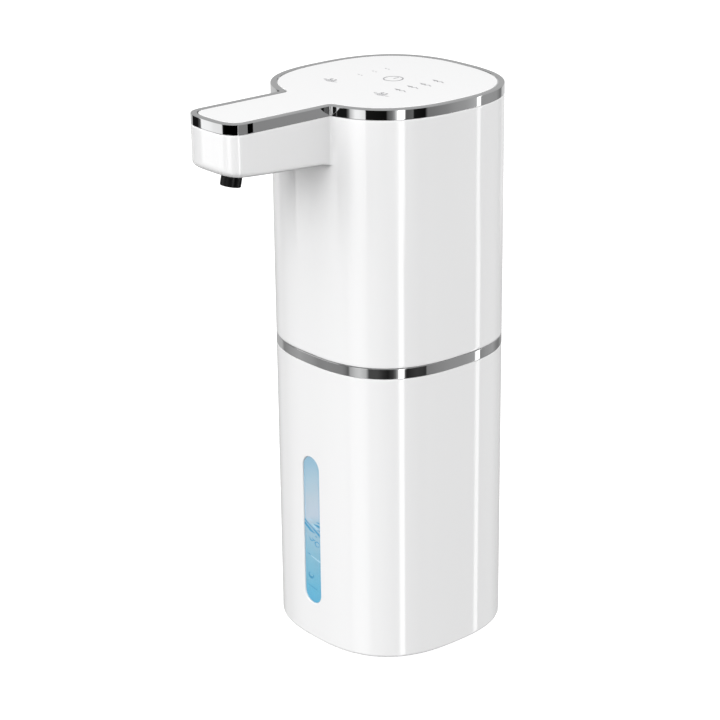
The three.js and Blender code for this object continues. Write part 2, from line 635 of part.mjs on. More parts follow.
function buildMotor(pump) {
  const can = cut(
    rod(MOTOR_RADIUS, MOTOR_BOTTOM, MOTOR_TOP, 0, 0, 24),
    rod(MOTOR_RADIUS - 1, MOTOR_BOTTOM + 1.2, MOTOR_TOP + PAST, 0, 0, 24),
    rod(2.4, MOTOR_BOTTOM - PAST, MOTOR_BOTTOM + 2),
  );
  piece(pump, "motor_can", can, zincSteel);
  const endcap = cut(
    rod(11.8, MOTOR_TOP + GAP, 181.2, 0, 0, 24),
    rod(SHAFT_RADIUS + 0.5, MOTOR_TOP, 180.4, 0, 0, 12),
  );
  piece(pump, "motor_endcap", endcap, blackPlastic);
  const magnet = cut(
    rod(10.9, MAGNET_BOTTOM, MAGNET_TOP, 0, 0, 24),
    rod(8.7, MAGNET_BOTTOM - PAST, MAGNET_TOP + PAST, 0, 0, 24),
    box([-12, -5, MAGNET_BOTTOM - PAST], [12, 12, MAGNET_TOP + PAST]),
  );
  piece(pump, "motor_magnet_1", magnet, magnetGrey);
  piece(pump, "motor_magnet_2", magnet, magnetGrey).rotation.z = Math.PI;
  const [coreBottom, coreTop] = [MAGNET_BOTTOM + 1, MAGNET_TOP - 1];
  const slots = spokes.map((turn) =>
    box([3, -1, coreBottom - PAST], [9, 1, coreTop + PAST]).rotate([0, 0, turn]));
  const core = cut(
    rod(8, coreBottom, coreTop, 0, 0, 24),
    rod(SHAFT_RADIUS + GAP, coreBottom - PAST, coreTop + PAST, 0, 0, 14),
    ...slots,
  );
  piece(pump, "armature", core, ironCore);
}

// ---------- charging port cover ----------
function buildPortCover() {
  const shape = (width, height, radius) => roundedRectangle(width, height, radius, 0, PORT_Z);
  const skin = slab(bodyRing(-1.35, -0.25), PORT_Z - 10, PORT_Z + 10);
  const flap = slabAlongY(shape(14.4, 8.2, 1.6), 20, 45).intersect(skin);
  const plug = slabAlongY(shape(8.6, 3, 1.4), HALF_DEPTH - 1.2, HALF_DEPTH + 0.8);
  piece(dispenser, "port_cover", join(flap, plug), silicone);
}

// ---------- wall plate ----------
function buildWallPlate() {
  const bracket = group(dispenser);
  const height = PLATE_TOP - PLATE_BOTTOM;
  const middle = (PLATE_TOP + PLATE_BOTTOM) / 2;
  const front = HALF_DEPTH + GAP;
  const back = WALL_Y - TAPE_THICK - 0.2;
  const plate = slabAlongY(roundedRectangle(2 * PLATE_HALF_WIDTH, height, 3, 0, middle), front, back);
  const neck = box([-HOOK_NECK, KNOB_BACK - 0.75, HOOK_BOTTOM], [HOOK_NECK, front + 0.5, HOOK_TOP]);
  const knob = box([-HOOK_KNOB, KNOB_FRONT, HOOK_BOTTOM - 1.4], [HOOK_KNOB, KNOB_BACK, HOOK_TOP + 1]);
  piece(bracket, "wall_plate", join(plate, neck, knob), whitePlastic);
  const pad = roundedRectangle(2 * PLATE_HALF_WIDTH - 1.2, height - 1.2, 2.5, 0, middle);
  piece(bracket, "adhesive_pad", slabAlongY(pad, WALL_Y - TAPE_THICK, WALL_Y), foamTape);
}

buildTank();
const head = group(dispenser);
buildCasing(head);
buildTray(head);
buildNozzle(head);
buildHoses(head);
buildSensor(head);
buildTouchPanel(head);
buildBattery(head);
buildBoards(head);
const pump = group(head, PUMP.x, PUMP.y);
buildPump(pump);
buildDrive(pump);
buildMotor(pump);
buildPortCover();
buildWallPlate();

export default dispenser;
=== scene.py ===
"""Looks of the touch-free foam soap dispenser. Shapes are worked out in millimetres in the row's frame."""
import math

import bmesh
import bpy
import numpy as np
from mathutils import Matrix, Vector


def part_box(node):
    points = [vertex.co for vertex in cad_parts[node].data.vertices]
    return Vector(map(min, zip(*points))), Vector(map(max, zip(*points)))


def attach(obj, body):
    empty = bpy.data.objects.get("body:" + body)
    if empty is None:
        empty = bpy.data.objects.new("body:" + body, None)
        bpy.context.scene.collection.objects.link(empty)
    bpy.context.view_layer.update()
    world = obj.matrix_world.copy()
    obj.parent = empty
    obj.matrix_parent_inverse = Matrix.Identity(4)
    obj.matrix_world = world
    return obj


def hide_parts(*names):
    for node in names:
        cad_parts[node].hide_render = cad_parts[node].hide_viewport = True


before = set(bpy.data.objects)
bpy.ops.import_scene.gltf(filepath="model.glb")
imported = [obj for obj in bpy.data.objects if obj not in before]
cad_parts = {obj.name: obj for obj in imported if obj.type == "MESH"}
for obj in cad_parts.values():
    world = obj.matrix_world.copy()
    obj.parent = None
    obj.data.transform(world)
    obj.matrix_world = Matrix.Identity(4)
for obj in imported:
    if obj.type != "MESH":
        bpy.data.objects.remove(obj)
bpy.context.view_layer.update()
MM = 0.001


# ---------- sizes from the frame ----------
def box_mm(node):
    low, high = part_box(node)
    return np.array(low) / MM, np.array(high) / MM


BAND_LOW, BAND_HIGH = box_mm("mid_band")
TANK_LOW, TANK_HIGH = box_mm("tank_shell")
SHELL_LOW, SHELL_HIGH = box_mm("head_shell")
RIM_LOW, RIM_HIGH = box_mm("top_rim")
PLATE_LOW, PLATE_HIGH = box_mm("top_plate")
PAD_HIGH = box_mm("base_pad")[1]
WINDOW_LOW, WINDOW_HIGH = box_mm("level_window")

HALF_WIDTH = BAND_HIGH[0]
HALF_DEPTH = BAND_HIGH[1]
PAD_INSET = HALF_WIDTH - PAD_HIGH[0]
BODY_EXPONENT = 2.6
WALL = 2.2
SPOUT_HALF_WIDTH = 13.45
SPOUT_TIP_Y = SHELL_LOW[1]
SPOUT_TIP_DEPTH = 9.4  # length of the rounded end
SPOUT_TIP_EXPONENT = 3.2
JUNCTION_RADIUS = 1.0  # fillet in plan between spout and body
TOP = RIM_HIGH[2]
UNDER_AT_BODY = TOP - 20.7  # height of the sloping underside at the body
UNDER_AT_TIP = TOP - 18.2
UNDER_SLOPE = (UNDER_AT_TIP - UNDER_AT_BODY) / (-HALF_DEPTH - SPOUT_TIP_Y)

WINDOW_FLANGE = 2.0  # hidden behind the tank's wall, all round
WINDOW_HALF = WINDOW_HIGH[0] - WINDOW_FLANGE - 0.2
WINDOW_BOTTOM = WINDOW_LOW[2] + WINDOW_FLANGE
WINDOW_TOP = WINDOW_HIGH[2] - WINDOW_FLANGE - 0.5

# Openings in the casing and what fits them, as (width, height).
POCKET, POCKET_HOLLOW = (14.2, 23.4), (11.2, 20.4)
KEYHOLE_ENTRY, KEYHOLE_SLOT = (10.4, 7.8), (5.8, 12.4)
POCKET_DROP, ENTRY_DROP, SLOT_DROP = 4.9, 10.9, 2.3  # their middles, below the wall plate's
HOOK_NECK, HOOK_KNOB = (4.8, 4.6), (9.2, 7.0)
PORT_HOLE, PORT_PLUG, THUMB_GROOVE = (10.6, 5.0), (8.6, 3.0), (7.0, 0.7)
SENSOR_HOLE, SENSOR_LENS = (10.6, 5.6), (10.0, 5.0)

NOZZLE_RADIUS = 3.6
NOZZLE_TILT = math.radians(12.5)
NOZZLE_FOOT = np.array([0, SPOUT_TIP_Y + 9.3, TOP - 24.6])
SENSOR_LOW, SENSOR_HIGH = box_mm("sensor_window")
SENSOR_Y = (SENSOR_LOW[1] + SENSOR_HIGH[1]) / 2
FLAP_LOW, FLAP_HIGH = box_mm("port_cover")
PORT_Z = (FLAP_LOW[2] + FLAP_HIGH[2]) / 2
WALL_PLATE_LOW, WALL_PLATE_HIGH = box_mm("wall_plate")
WALL_PAD_LOW, WALL_PAD_HIGH = box_mm("adhesive_pad")
TRAY_HIGH = box_mm("head_base")[1]
GASKET_LOW, GASKET_HIGH = box_mm("tank_gasket")
TUBE_LOW, TUBE_HIGH = box_mm("suction_tube")
NIPPLE_X, NIPPLE_Y = ((TUBE_LOW + TUBE_HIGH) / 2)[:2]
FILTER_LOW, FILTER_HIGH = box_mm("suction_filter")

BODY_POINTS = 260  # along the body's part of the head outline
FILLET_POINTS = 10
SIDE_POINTS = 22
TIP_POINTS = 56
SHARP_ANGLE = math.radians(32)  # edges that turn more than this are shaded as edges


# ---------- outlines ----------
def superellipse(half_x, half_y, exponent, angles):
    c, s = np.cos(angles), np.sin(angles)
    radius = (np.abs(c / half_x) ** exponent + np.abs(s / half_y) ** exponent) ** (-1 / exponent)
    return np.stack([radius * c, radius * s], axis=1)


def body_outline(inset, count=320):
    angles = np.linspace(0, 2 * math.pi, count, endpoint=False)
    return superellipse(HALF_WIDTH - inset, HALF_DEPTH - inset, BODY_EXPONENT, angles)


def body_front_y(x, inset):
    share = 1 - (np.abs(x) / (HALF_WIDTH - inset)) ** BODY_EXPONENT
    return -(HALF_DEPTH - inset) * share ** (1 / BODY_EXPONENT)


def body_normal(point, inset):
    half = np.array([HALF_WIDTH - inset, HALF_DEPTH - inset])
    gradient = np.sign(point) * (np.abs(point) / half) ** (BODY_EXPONENT - 1) / half
    return gradient / np.linalg.norm(gradient)


def junction(inset):
    """Where the fillet between body and spout touches the body, and the fillet's centre, on the +X side."""
    radius = JUNCTION_RADIUS + inset
    low, high = -math.pi / 2, -math.pi / 6
    for _ in range(50):
        angle = (low + high) / 2
        size = (HALF_WIDTH - inset, HALF_DEPTH - inset)
        touch = superellipse(*size, BODY_EXPONENT, np.array([angle]))[0]
        normal = body_normal(touch, inset)
        if touch[0] + radius * normal[0] < SPOUT_HALF_WIDTH - inset + radius:
            low = angle
        else:
            high = angle
    return angle, touch + radius * normal, normal


def head_outline(inset):
    """Body and spout in plan, anticlockwise from the junction on the +X side.

    The first BODY_POINTS lie on the body.
    """
    angle, centre, normal = junction(inset)
    radius = JUNCTION_RADIUS + inset
    half = SPOUT_HALF_WIDTH - inset
    size = (HALF_WIDTH - inset, HALF_DEPTH - inset)
    body = superellipse(*size, BODY_EXPONENT, np.linspace(angle, math.pi - angle, BODY_POINTS))
    end = math.atan2(-normal[1], -normal[0])
    turns = np.linspace(math.pi, end, FILLET_POINTS + 1)
    fillet = centre + radius * np.stack([np.cos(turns), np.sin(turns)], axis=1)
    mirrored = (fillet * [-1, 1])[::-1][1:]
    tip_y = SPOUT_TIP_Y + SPOUT_TIP_DEPTH
    side_y = np.linspace(fillet[0][1], tip_y, SIDE_POINTS + 1)[1:-1]
    left = np.stack([np.full_like(side_y, -half), side_y], axis=1)
    half_turn = np.linspace(math.pi, 2 * math.pi, TIP_POINTS)
    tip = superellipse(half, SPOUT_TIP_DEPTH - inset, SPOUT_TIP_EXPONENT, half_turn) + [0, tip_y]
    right = (left * [-1, 1])[::-1]
    return np.concatenate([body, mirrored, left, tip, right, fillet[:-1]])


def inward_normals(outline):
    along = np.roll(outline, -1, axis=0) - np.roll(outline, 1, axis=0)
    normals = np.stack([-along[:, 1], along[:, 0]], axis=1)
    return normals / np.linalg.norm(normals, axis=1)[:, None]


def stadium(half_width, low, high, count=64):
    """An upright slot with round ends in X and Z."""
    turns = np.linspace(0, math.pi, count // 2)
    top = np.stack([half_width * np.cos(turns), high - half_width + half_width * np.sin(turns)], axis=1)
    bottom = np.stack([-half_width * np.cos(turns), low + half_width - half_width * np.sin(turns)], axis=1)
    return np.concatenate([top, bottom])


def rounded_rectangle(width, height, radius, steps=8):
    corners = [(1, 1, 0), (-1, 1, 1), (-1, -1, 2), (1, -1, 3)]
    points = []
    for sx, sy, quarter in corners:
        centre = np.array([sx * (width / 2 - radius), sy * (height / 2 - radius)])
        for turn in np.linspace(0, math.pi / 2, steps + 1):
            angle = turn + quarter * math.pi / 2
            points.append(centre + radius * np.array([math.cos(angle), math.sin(angle)]))
    return np.array(points)


def rounded_profile(corners, steps=6, support=0.25):
    """Replaces each (inset, height, radius) corner by an arc with a support point on either side."""
    points = []
    for i, (x, z, radius) in enumerate(corners):
        here = np.array([x, z], float)
        if radius == 0 or i in (0, len(corners) - 1):
            points.append(here)
            continue
        before = np.array(corners[i - 1][:2], float) - here
        after = np.array(corners[i + 1][:2], float) - here
        length_before, length_after = np.linalg.norm(before), np.linalg.norm(after)
        before, after = before / length_before, after / length_after
        half = math.acos(np.clip(before @ after, -1, 1)) / 2
        reach = radius / math.tan(half)
        bisector = (before + after) / np.linalg.norm(before + after)
        centre = here + bisector * radius / math.sin(half)
        start, end = here + before * reach, here + after * reach
        if length_before > reach + support:
            points.append(here + before * (reach + support))
        first = math.atan2(*(start - centre)[::-1])
        sweep = (math.atan2(*(end - centre)[::-1]) - first + math.pi) % (2 * math.pi) - math.pi
        for k in range(steps + 1):
            angle = first + sweep * k / steps
            points.append(centre + radius * np.array([math.cos(angle), math.sin(angle)]))
        if length_after > reach + support:
            points.append(here + after * (reach + support))
    return points


# ---------- meshes ----------
def mesh_object(name, vertices, faces, material):
    mesh = bpy.data.meshes.new(name)
    mesh.from_pydata((np.asarray(vertices, float) * MM).tolist(), [], faces)
    obj = bpy.data.objects.new(name, mesh)
    bpy.context.scene.collection.objects.link(obj)
    tidy_mesh(obj)
    if material is not None:
        mesh.materials.append(material)
    return obj


def tidy_mesh(obj):
    edit = bmesh.new()
    edit.from_mesh(obj.data)
    bmesh.ops.remove_doubles(edit, verts=edit.verts, dist=2e-7)
    bmesh.ops.dissolve_degenerate(edit, edges=edit.edges, dist=1e-8)
    bmesh.ops.recalc_face_normals(edit, faces=edit.faces)
    edit.to_mesh(obj.data)
    edit.free()
    obj.data.shade_smooth()
    obj.data.set_sharp_from_angle(angle=SHARP_ANGLE)


def strip(rows, cyclic=True):
    """Faces between rows of equal length, given as index arrays."""
    faces = []
    for a, b in zip(rows[:-1], rows[1:]):
        count = len(a)
        for i in range(count if cyclic else count - 1):
            k = (i + 1) % count
            faces.append((int(a[i]), int(a[k]), int(b[k]), int(b[i])))
    return faces


def ring_rows(rings):
    """Vertex numbers of rings of equal length that follow one another."""
    count = len(rings[0])
    return [np.arange(count) + k * count for k in range(len(rings))]


def end_caps(rows):
    return [tuple(int(i) for i in rows[0][::-1]), tuple(int(i) for i in rows[-1])]


def loft(name, profile, outline, material, closed=False):
    """Rings of outline(inset) at each (inset, height) of the profile, capped unless the profile is a loop."""
    plans = [(outline(inset), height) for inset, height in profile]
    rings = [np.column_stack([plan, np.full(len(plan), height)]) for plan, height in plans]
    rows = ring_rows(rings)
    faces = strip(rows + [rows[0]]) if closed else strip(rows) + end_caps(rows)
    return mesh_object(name, np.concatenate(rings), faces, material)


def lathe(name, profile, material, sides=64, closed=False):
    """Turns (radius, height) points about +Z. The profile ends on the axis both ways, or is a closed loop."""
    angles = np.linspace(0, 2 * math.pi, sides, endpoint=False)
    circle = np.stack([np.cos(angles), np.sin(angles)], axis=1)
    rings = [np.column_stack([radius * circle, np.full(sides, height)]) for radius, height in profile]
    rows = ring_rows(rings)
    return mesh_object(name, np.concatenate(rings), strip(rows + [rows[0]] if closed else rows), material)


def rod(name, radius, low, high, x, y, sides=32):
    obj = lathe(name, [(0, low), (radius, low), (radius, high), (0, high)], None, sides)
    shift(obj, x, y)
    return obj


def prism(name, outline, low, high, material, axis="y", bevel=0.0, steps=4):
    """An outline raised along an axis, with its end edges rounded."""
    profile = [(0, low), (0, high)]
    if bevel:
        end = 2 * bevel
        corners = [(end, low, 0), (0, low, bevel), (0, high, bevel), (end, high, 0)]
        profile = rounded_profile(corners, steps, 0.02)
    inward = inward_normals(outline)
    columns = {"x": (2, 0, 1), "y": (0, 2, 1), "z": (0, 1, 2)}[axis]
    rings = []
    for inset, height in profile:
        flat = outline + inward * inset
        rings.append(np.column_stack([flat, np.full(len(flat), height)])[:, columns])
    rows = ring_rows(rings)
    return mesh_object(name, np.concatenate(rings), strip(rows) + end_caps(rows), material)


def combine(target, tools, operation="DIFFERENCE"):
    """Cuts or joins the tools with the target, and removes them."""
    for tool in tools:
        step = target.modifiers.new("combine", "BOOLEAN")
        step.operation = operation
        step.solver = "EXACT"
        step.object = tool
    bpy.context.view_layer.update()
    depsgraph = bpy.context.evaluated_depsgraph_get()
    mesh = bpy.data.meshes.new_from_object(target.evaluated_get(depsgraph))
    target.modifiers.clear()
    old = target.data
    target.data = mesh
    bpy.data.meshes.remove(old)
    for tool in tools:
        bpy.data.objects.remove(tool)
    tidy_mesh(target)


def shift(obj, x, y):
    obj.data.transform(Matrix.Translation(Vector((x, y, 0)) * MM))


def place(obj, body, slot, *nodes):
    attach(obj, body)
    if nodes:
        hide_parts(*nodes)


# ---------- materials ----------
def shader(name, color, roughness, metallic=0.0):
    material = bpy.data.materials.new(name)
    material.use_nodes = True
    tree = material.node_tree
    surface = tree.nodes["Principled BSDF"]
    surface.inputs["Base Color"].default_value = (*color, 1)
    surface.inputs["Roughness"].default_value = roughness
    surface.inputs["Metallic"].default_value = metallic
    return material, tree, surface


def noise(tree, scale, detail):
    texture = tree.nodes.new("ShaderNodeTexNoise")
    texture.inputs["Scale"].default_value = scale
    texture.inputs["Detail"].default_value = detail
    place_node = tree.nodes.new("ShaderNodeTexCoord")
    tree.links.new(place_node.outputs["Object"], texture.inputs["Vector"])
    return texture.outputs["Fac"]


def fade(tree, value, start, end, low=0.0, high=1.0):
    """Runs from low to high while the value runs from start to end."""
    node = tree.nodes.new("ShaderNodeMapRange")
    limits = {"From Min": start, "From Max": end, "To Min": low, "To Max": high}
    for socket, limit in limits.items():
        node.inputs[socket].default_value = limit
    tree.links.new(value, node.inputs["Value"])
    return node.outputs["Result"]


def math_node(tree, operation, *values):
    node = tree.nodes.new("ShaderNodeMath")
    node.operation = operation
    for socket, value in zip(node.inputs, values):
        if isinstance(value, (int, float)):
            socket.default_value = value
        else:
            tree.links.new(value, socket)
    return node.outputs[0]


def blend(tree, share, first, second, data_type="FLOAT"):
    """Mixes two numbers, or two colours with data_type RGBA. Each may be another node's output."""
    node = tree.nodes.new("ShaderNodeMix")
    node.data_type = data_type
    for value, socket in ((share, "Factor"), (first, "A"), (second, "B")):
        if isinstance(value, (int, float)):
            node.inputs[socket].default_value = value
        elif isinstance(value, tuple):
            node.inputs[socket].default_value = (*value, 1)
        else:
            tree.links.new(value, node.inputs[socket])
    return node.outputs["Result"]


def color_ramp(tree, value, stops):
    """Colours over 0 to 1, from (position, colour) stops."""
    node = tree.nodes.new("ShaderNodeValToRGB")
    elements = node.color_ramp.elements
    for element, (position, color) in zip(elements, (stops[0], stops[-1])):
        element.position, element.color = position, (*color, 1)
    for position, color in stops[1:-1]:
        elements.new(position).color = (*color, 1)
    tree.links.new(value, node.inputs["Fac"])
    return node.outputs["Color"]


def bump(tree, surface, value, strength, distance):
    node = tree.nodes.new("ShaderNodeBump")
    node.inputs["Strength"].default_value = strength
    node.inputs["Distance"].default_value = distance
    tree.links.new(value, node.inputs["Height"])
    tree.links.new(node.outputs["Normal"], surface.inputs["Normal"])


def moulded(name, color, roughness, grain=900, depth=0.00001, vary=0.02, rough_vary=0.04, metallic=0.0):
    """Plastic, rubber or metal with slight colour and gloss variation and a fine surface grain."""
    material, tree, surface = shader(name, color, roughness, metallic)
    cloud = noise(tree, 38, 3)
    darker = tuple(c * (1 - vary) for c in color)
    lighter = tuple(min(1, c * (1 + vary)) for c in color)
    tree.links.new(blend(tree, cloud, darker, lighter, "RGBA"), surface.inputs["Base Color"])
    smoothest = max(0.01, roughness - rough_vary)
    rough = fade(tree, noise(tree, 120, 4), 0, 1, smoothest, roughness + rough_vary)
    tree.links.new(rough, surface.inputs["Roughness"])
    bump(tree, surface, noise(tree, grain, 3), 0.4, depth)
    return material


def specular(level, *materials):
    for material in materials:
        material.node_tree.nodes["Principled BSDF"].inputs["Specular IOR Level"].default_value = level


# Each with its colour, roughness, grain (fineness, depth), and how far colour and roughness vary.
WHITE = moulded("white gloss plastic", (0.87, 0.87, 0.87261), 0.035, 45, 0.000004, 0.004, 0.015)
CHROME = moulded("chrome plating", (0.78, 0.785, 0.79), 0.03, 60, 0.000002, 0.01, 0.012, metallic=1.0)
BLACK = moulded("black plastic", (0.0015, 0.0015, 0.0018), 0.27, 1400, 0.00001, 0.2, 0.06)
LENS_DARK = moulded("dark lens", (0.01, 0.004, 0.007), 0.06, 60, 0.000001, 0.2, 0.02)
RUBBER = moulded("grey rubber", (0.26, 0.27, 0.28), 0.75, 1600, 0.00002, 0.08, 0.1)
SILICONE = moulded("white silicone", (0.74, 0.74, 0.73), 0.5, 1200, 0.00001, 0.02, 0.08)
HOSE = moulded("hose", (0.68, 0.74, 0.76), 0.3, 800, 0.00001, 0.03, 0.06)
PUMP = moulded("pump plastic", (0.58, 0.61, 0.60), 0.42, 1400, 0.00002, 0.04, 0.08)
STEEL = moulded("plated steel", (0.56, 0.57, 0.58), 0.28, 900, 0.00001, 0.08, 0.1, metallic=1.0)
IRON = moulded("laminated iron", (0.24, 0.25, 0.27), 0.45, 1800, 0.00003, 0.2, 0.1, metallic=1.0)
FERRITE = moulded("ferrite", (0.05, 0.052, 0.055), 0.65, 1500, 0.00003, 0.2, 0.1)
BOARD = moulded("circuit board", (0.012, 0.10, 0.045), 0.35, 700, 0.00002, 0.35, 0.1)
LAMP = moulded("milky light guide", (0.86, 0.85, 0.80), 0.3, 500, 0.00001, 0.03, 0.05)
WRAP = moulded("battery wrap", (0.03, 0.15, 0.42), 0.25, 300, 0.00002, 0.1, 0.08)
TAPE = moulded("foam tape", (0.48, 0.50, 0.52), 0.9, 2600, 0.0001, 0.1, 0.05)
PRINT = moulded("grey print", (0.26, 0.26, 0.27), 0.5, 900, 0.000002, 0.05, 0.05)
FILM = moulded("soap film", (0.0, 0.27, 0.50), 0.3, 300, 0.00001, 0.25, 0.1)
THIN_FILM = moulded("thin soap film", (0.40, 0.66, 0.80), 0.3, 300, 0.00001, 0.1, 0.1)
CLEAR = moulded("clear window", (0.75, 0.88, 0.95), 0.04, 60, 0.000001, 0.01, 0.01)
CLEAR.node_tree.nodes["Principled BSDF"].inputs["Alpha"].default_value = 0.08
specular(1.0, WHITE)
specular(0.3, BLACK)
specular(0.2, CLEAR, FILM, THIN_FILM)


def soap_material():
    """Blue soap against the window, deeper in colour at the bottom and paler above its level, with painted
    shade darkening it along the window's sides.
    """
    material, tree, surface = shader("soap behind the window", (0.3, 0.6, 0.8), 0.3)
    place_node = tree.nodes.new("ShaderNodeTexCoord")
    split = tree.nodes.new("ShaderNodeSeparateXYZ")
    tree.links.new(place_node.outputs["Object"], split.inputs["Vector"])
    height = fade(tree, split.outputs["Z"], WINDOW_BOTTOM * MM, WINDOW_TOP * MM)
    cloud = math_node(tree, "MULTIPLY", math_node(tree, "SUBTRACT", noise(tree, 160, 2), 0.5), 0.16)
    color = color_ramp(tree, math_node(tree, "ADD", height, cloud), [
        (0.0, (0.03, 0.38, 0.62)), (0.10, (0.06, 0.42, 0.62)), (0.25, (0.14, 0.44, 0.60)),
        (0.42, (0.25, 0.48, 0.61)), (0.54, (0.33, 0.51, 0.63)), (0.60, (0.50, 0.58, 0.67)),
        (0.74, (0.47, 0.57, 0.65)), (0.86, (0.36, 0.53, 0.64)), (1.0, (0.24, 0.45, 0.60)),
    ])
    # Painted shade: the soap is darkened towards the window's two sides, as if the slot's walls shaded it.
    side_shade_color, side_shade_width = (0.12, 0.40, 0.62), 1.3
    across = math_node(tree, "ABSOLUTE", split.outputs["X"])
    side = fade(tree, across, (WINDOW_HALF - side_shade_width) * MM, WINDOW_HALF * MM, 0, 0.55)
    tree.links.new(blend(tree, side, color, side_shade_color, "RGBA"), surface.inputs["Base Color"])
    surface.inputs["Specular IOR Level"].default_value = 0.2
    bump(tree, surface, noise(tree, 240, 3), 0.2, 0.00005)
    return material


SOAP = soap_material()


# ---------- tank ----------
def build_tank():
    """The open tank with its neck, its window slot and a recess for the pad."""
    bottom, top, neck_top = TANK_LOW[2], BAND_LOW[2] - 0.1, TANK_HIGH[2]
    neck_out, neck_in = 4.6, 6.6
    shoulder, floor = top - 2.4, bottom + 2.4
    recess, recess_top = PAD_INSET - 0.3, PAD_HIGH[2] + 0.3
    profile = rounded_profile([
        (PAD_INSET + 2, recess_top, 0), (recess, recess_top, 0.1), (recess, bottom, 0.2), (0, bottom, 1.1),
        (0, top, 0.22), (neck_out, top, 0.3), (neck_out, neck_top, 0.6), (neck_in, neck_top, 0.6),
        (neck_in, shoulder, 0.3), (WALL, shoulder, 0.8), (WALL, floor, 1.2), (9, floor, 0),
    ])
    tank = loft("tank_body", profile, body_outline, WHITE)
    slot = stadium(WINDOW_HALF, WINDOW_BOTTOM, WINDOW_TOP)
    flare_y = -HALF_DEPTH + 0.3
    flare = [(0.0, -HALF_DEPTH + 8), (0.0, flare_y), (-0.28, -HALF_DEPTH), (-0.28, -HALF_DEPTH - 3)]
    inward = inward_normals(slot)
    rings = []
    for inset, y in flare:
        flat = slot + inward * inset
        rings.append(np.column_stack([flat[:, 0], np.full(len(flat), y), flat[:, 1]]))
    rows = ring_rows(rings)
    cutter = mesh_object("slot cutter", np.concatenate(rings), strip(rows) + end_caps(rows), None)
    combine(tank, [cutter])
    place(tank, "tank", "white_plastic", "tank_shell")


def build_pad():
    groove_out, groove_in, groove_top = PAD_INSET + 1.6, PAD_INSET + 2.6, 0.35
    pad = loft("anti_slip_pad", rounded_profile([
        (PAD_INSET + 3, PAD_HIGH[2], 0), (PAD_INSET, PAD_HIGH[2], 0.2), (PAD_INSET, 0.0, 0.3),
        (groove_out, 0.0, 0.1), (groove_out, groove_top, 0.1), (groove_in, groove_top, 0.1),
        (groove_in, 0.0, 0.1), (PAD_INSET + 4, 0.0, 0),
    ], support=0.05), body_outline, RUBBER)
    place(pad, "tank", "pad_rubber", "base_pad")


def curved_plug(name, ring_at, reach, front, back, bevel, side, material, rings=7):
    """A plug whose two faces follow the body's wall, on the front for side -1 and on the back for side 1.

    ring_at(inset) is the plug's outline in X and Z, and reach is the inset at which it has all but closed.
    front and back are depths below the body's surface.
    """
    levels = list(np.linspace(bevel + 0.01, reach, rings))
    turns = np.linspace(0, math.pi / 2, 5)
    edge = [(bevel * (1 - math.cos(t)), front + bevel * (1 - math.sin(t))) for t in turns]
    profile = [(inset, back) for inset in reversed(levels)] + [(0, back)] + edge
    profile += [(inset, front) for inset in levels]
    points = []
    for inset, depth in profile:
        ring = ring_at(inset)
        y = side * (np.abs(body_front_y(ring[:, 0], 0)) - depth)
        points.append(np.column_stack([ring[:, 0], y, ring[:, 1]]))
    rows = ring_rows(points)
    return mesh_object(name, np.concatenate(points), strip(rows) + end_caps(rows), material)


def slot_plug(name, shrink, front, back, material, rings):
    half = WINDOW_HALF - shrink
    low, high = WINDOW_BOTTOM + shrink, WINDOW_TOP - shrink
    return curved_plug(
        name, lambda inset: stadium(half - inset, low + inset, high - inset), half - 0.02,
        front, back, 0.2, -1, material, rings,
    )


# Lines on the window's inside as (x, height) points, with their widths at the start, middle and end.
SOAP_LEVEL = 45.6
FILM_LINES = [
    ([(-4.5, 1.5), (-1.5, 0.1), (1.2, -1.1), (4.5, -2.7)], (0.7, 0.5, 1.1)),
    ([(-4.5, 0.2), (-2.6, -0.9), (-0.6, -1.9), (1.6, -2.2)], (1.0, 1.3, 0.2)),
    ([(1.0, 1.1), (2.2, 1.1), (3.4, 1.0), (4.5, 1.1)], (0.2, 0.8, 1.2)),
    ([(2.2, 2.4), (3.0, 2.4), (3.8, 2.4), (4.5, 2.4)], (0.1, 0.5, 0.5)),
    ([(2.6, -0.4), (3.3, -0.5), (3.9, -0.6), (4.5, -0.7)], (0.1, 0.5, 0.5)),
    ([(1.6, -3.4), (1.9, -3.4), (2.2, -3.5), (2.5, -3.5)], (0.3, 0.5, 0.3)),
    ([(-3.0, -11.6), (-2.4, -11.7), (-1.8, -11.8), (-1.2, -12.0)], (0.1, 0.4, 0.1)),
    ([(-3.4, -24.3), (-1.6, -24.5), (0.4, -24.8), (2.2, -25.0)], (0.1, 0.4, 0.3)),
]
PALE_LINES = [
    ([(-1.2, -12.1), (0.6, -12.4), (2.6, -12.8), (4.5, -13.1)], (0.3, 0.5, 0.4)),
    ([(-0.4, 1.0), (1.1, 0.4), (2.4, -0.1), (3.6, -0.4)], (0.3, 0.9, 0.3)),
    ([(-2.6, 2.4), (-1.6, 2.4), (-0.6, 2.3), (0.4, 2.2)], (0.1, 0.4, 0.1)),
]
# Bubbles as (x, height, half-width, half-height, first and last angle, width).
BUBBLES = [
    (-0.6, -5.0, 1.0, 0.8, 150, 340, 0.55), (0.8, -4.6, 0.8, 0.7, 170, 330, 0.45),
    (2.6, -6.4, 1.25, 0.95, 0, 340, 0.5), (-1.2, -20.0, 1.35, 1.0, 120, 390, 0.95),
]


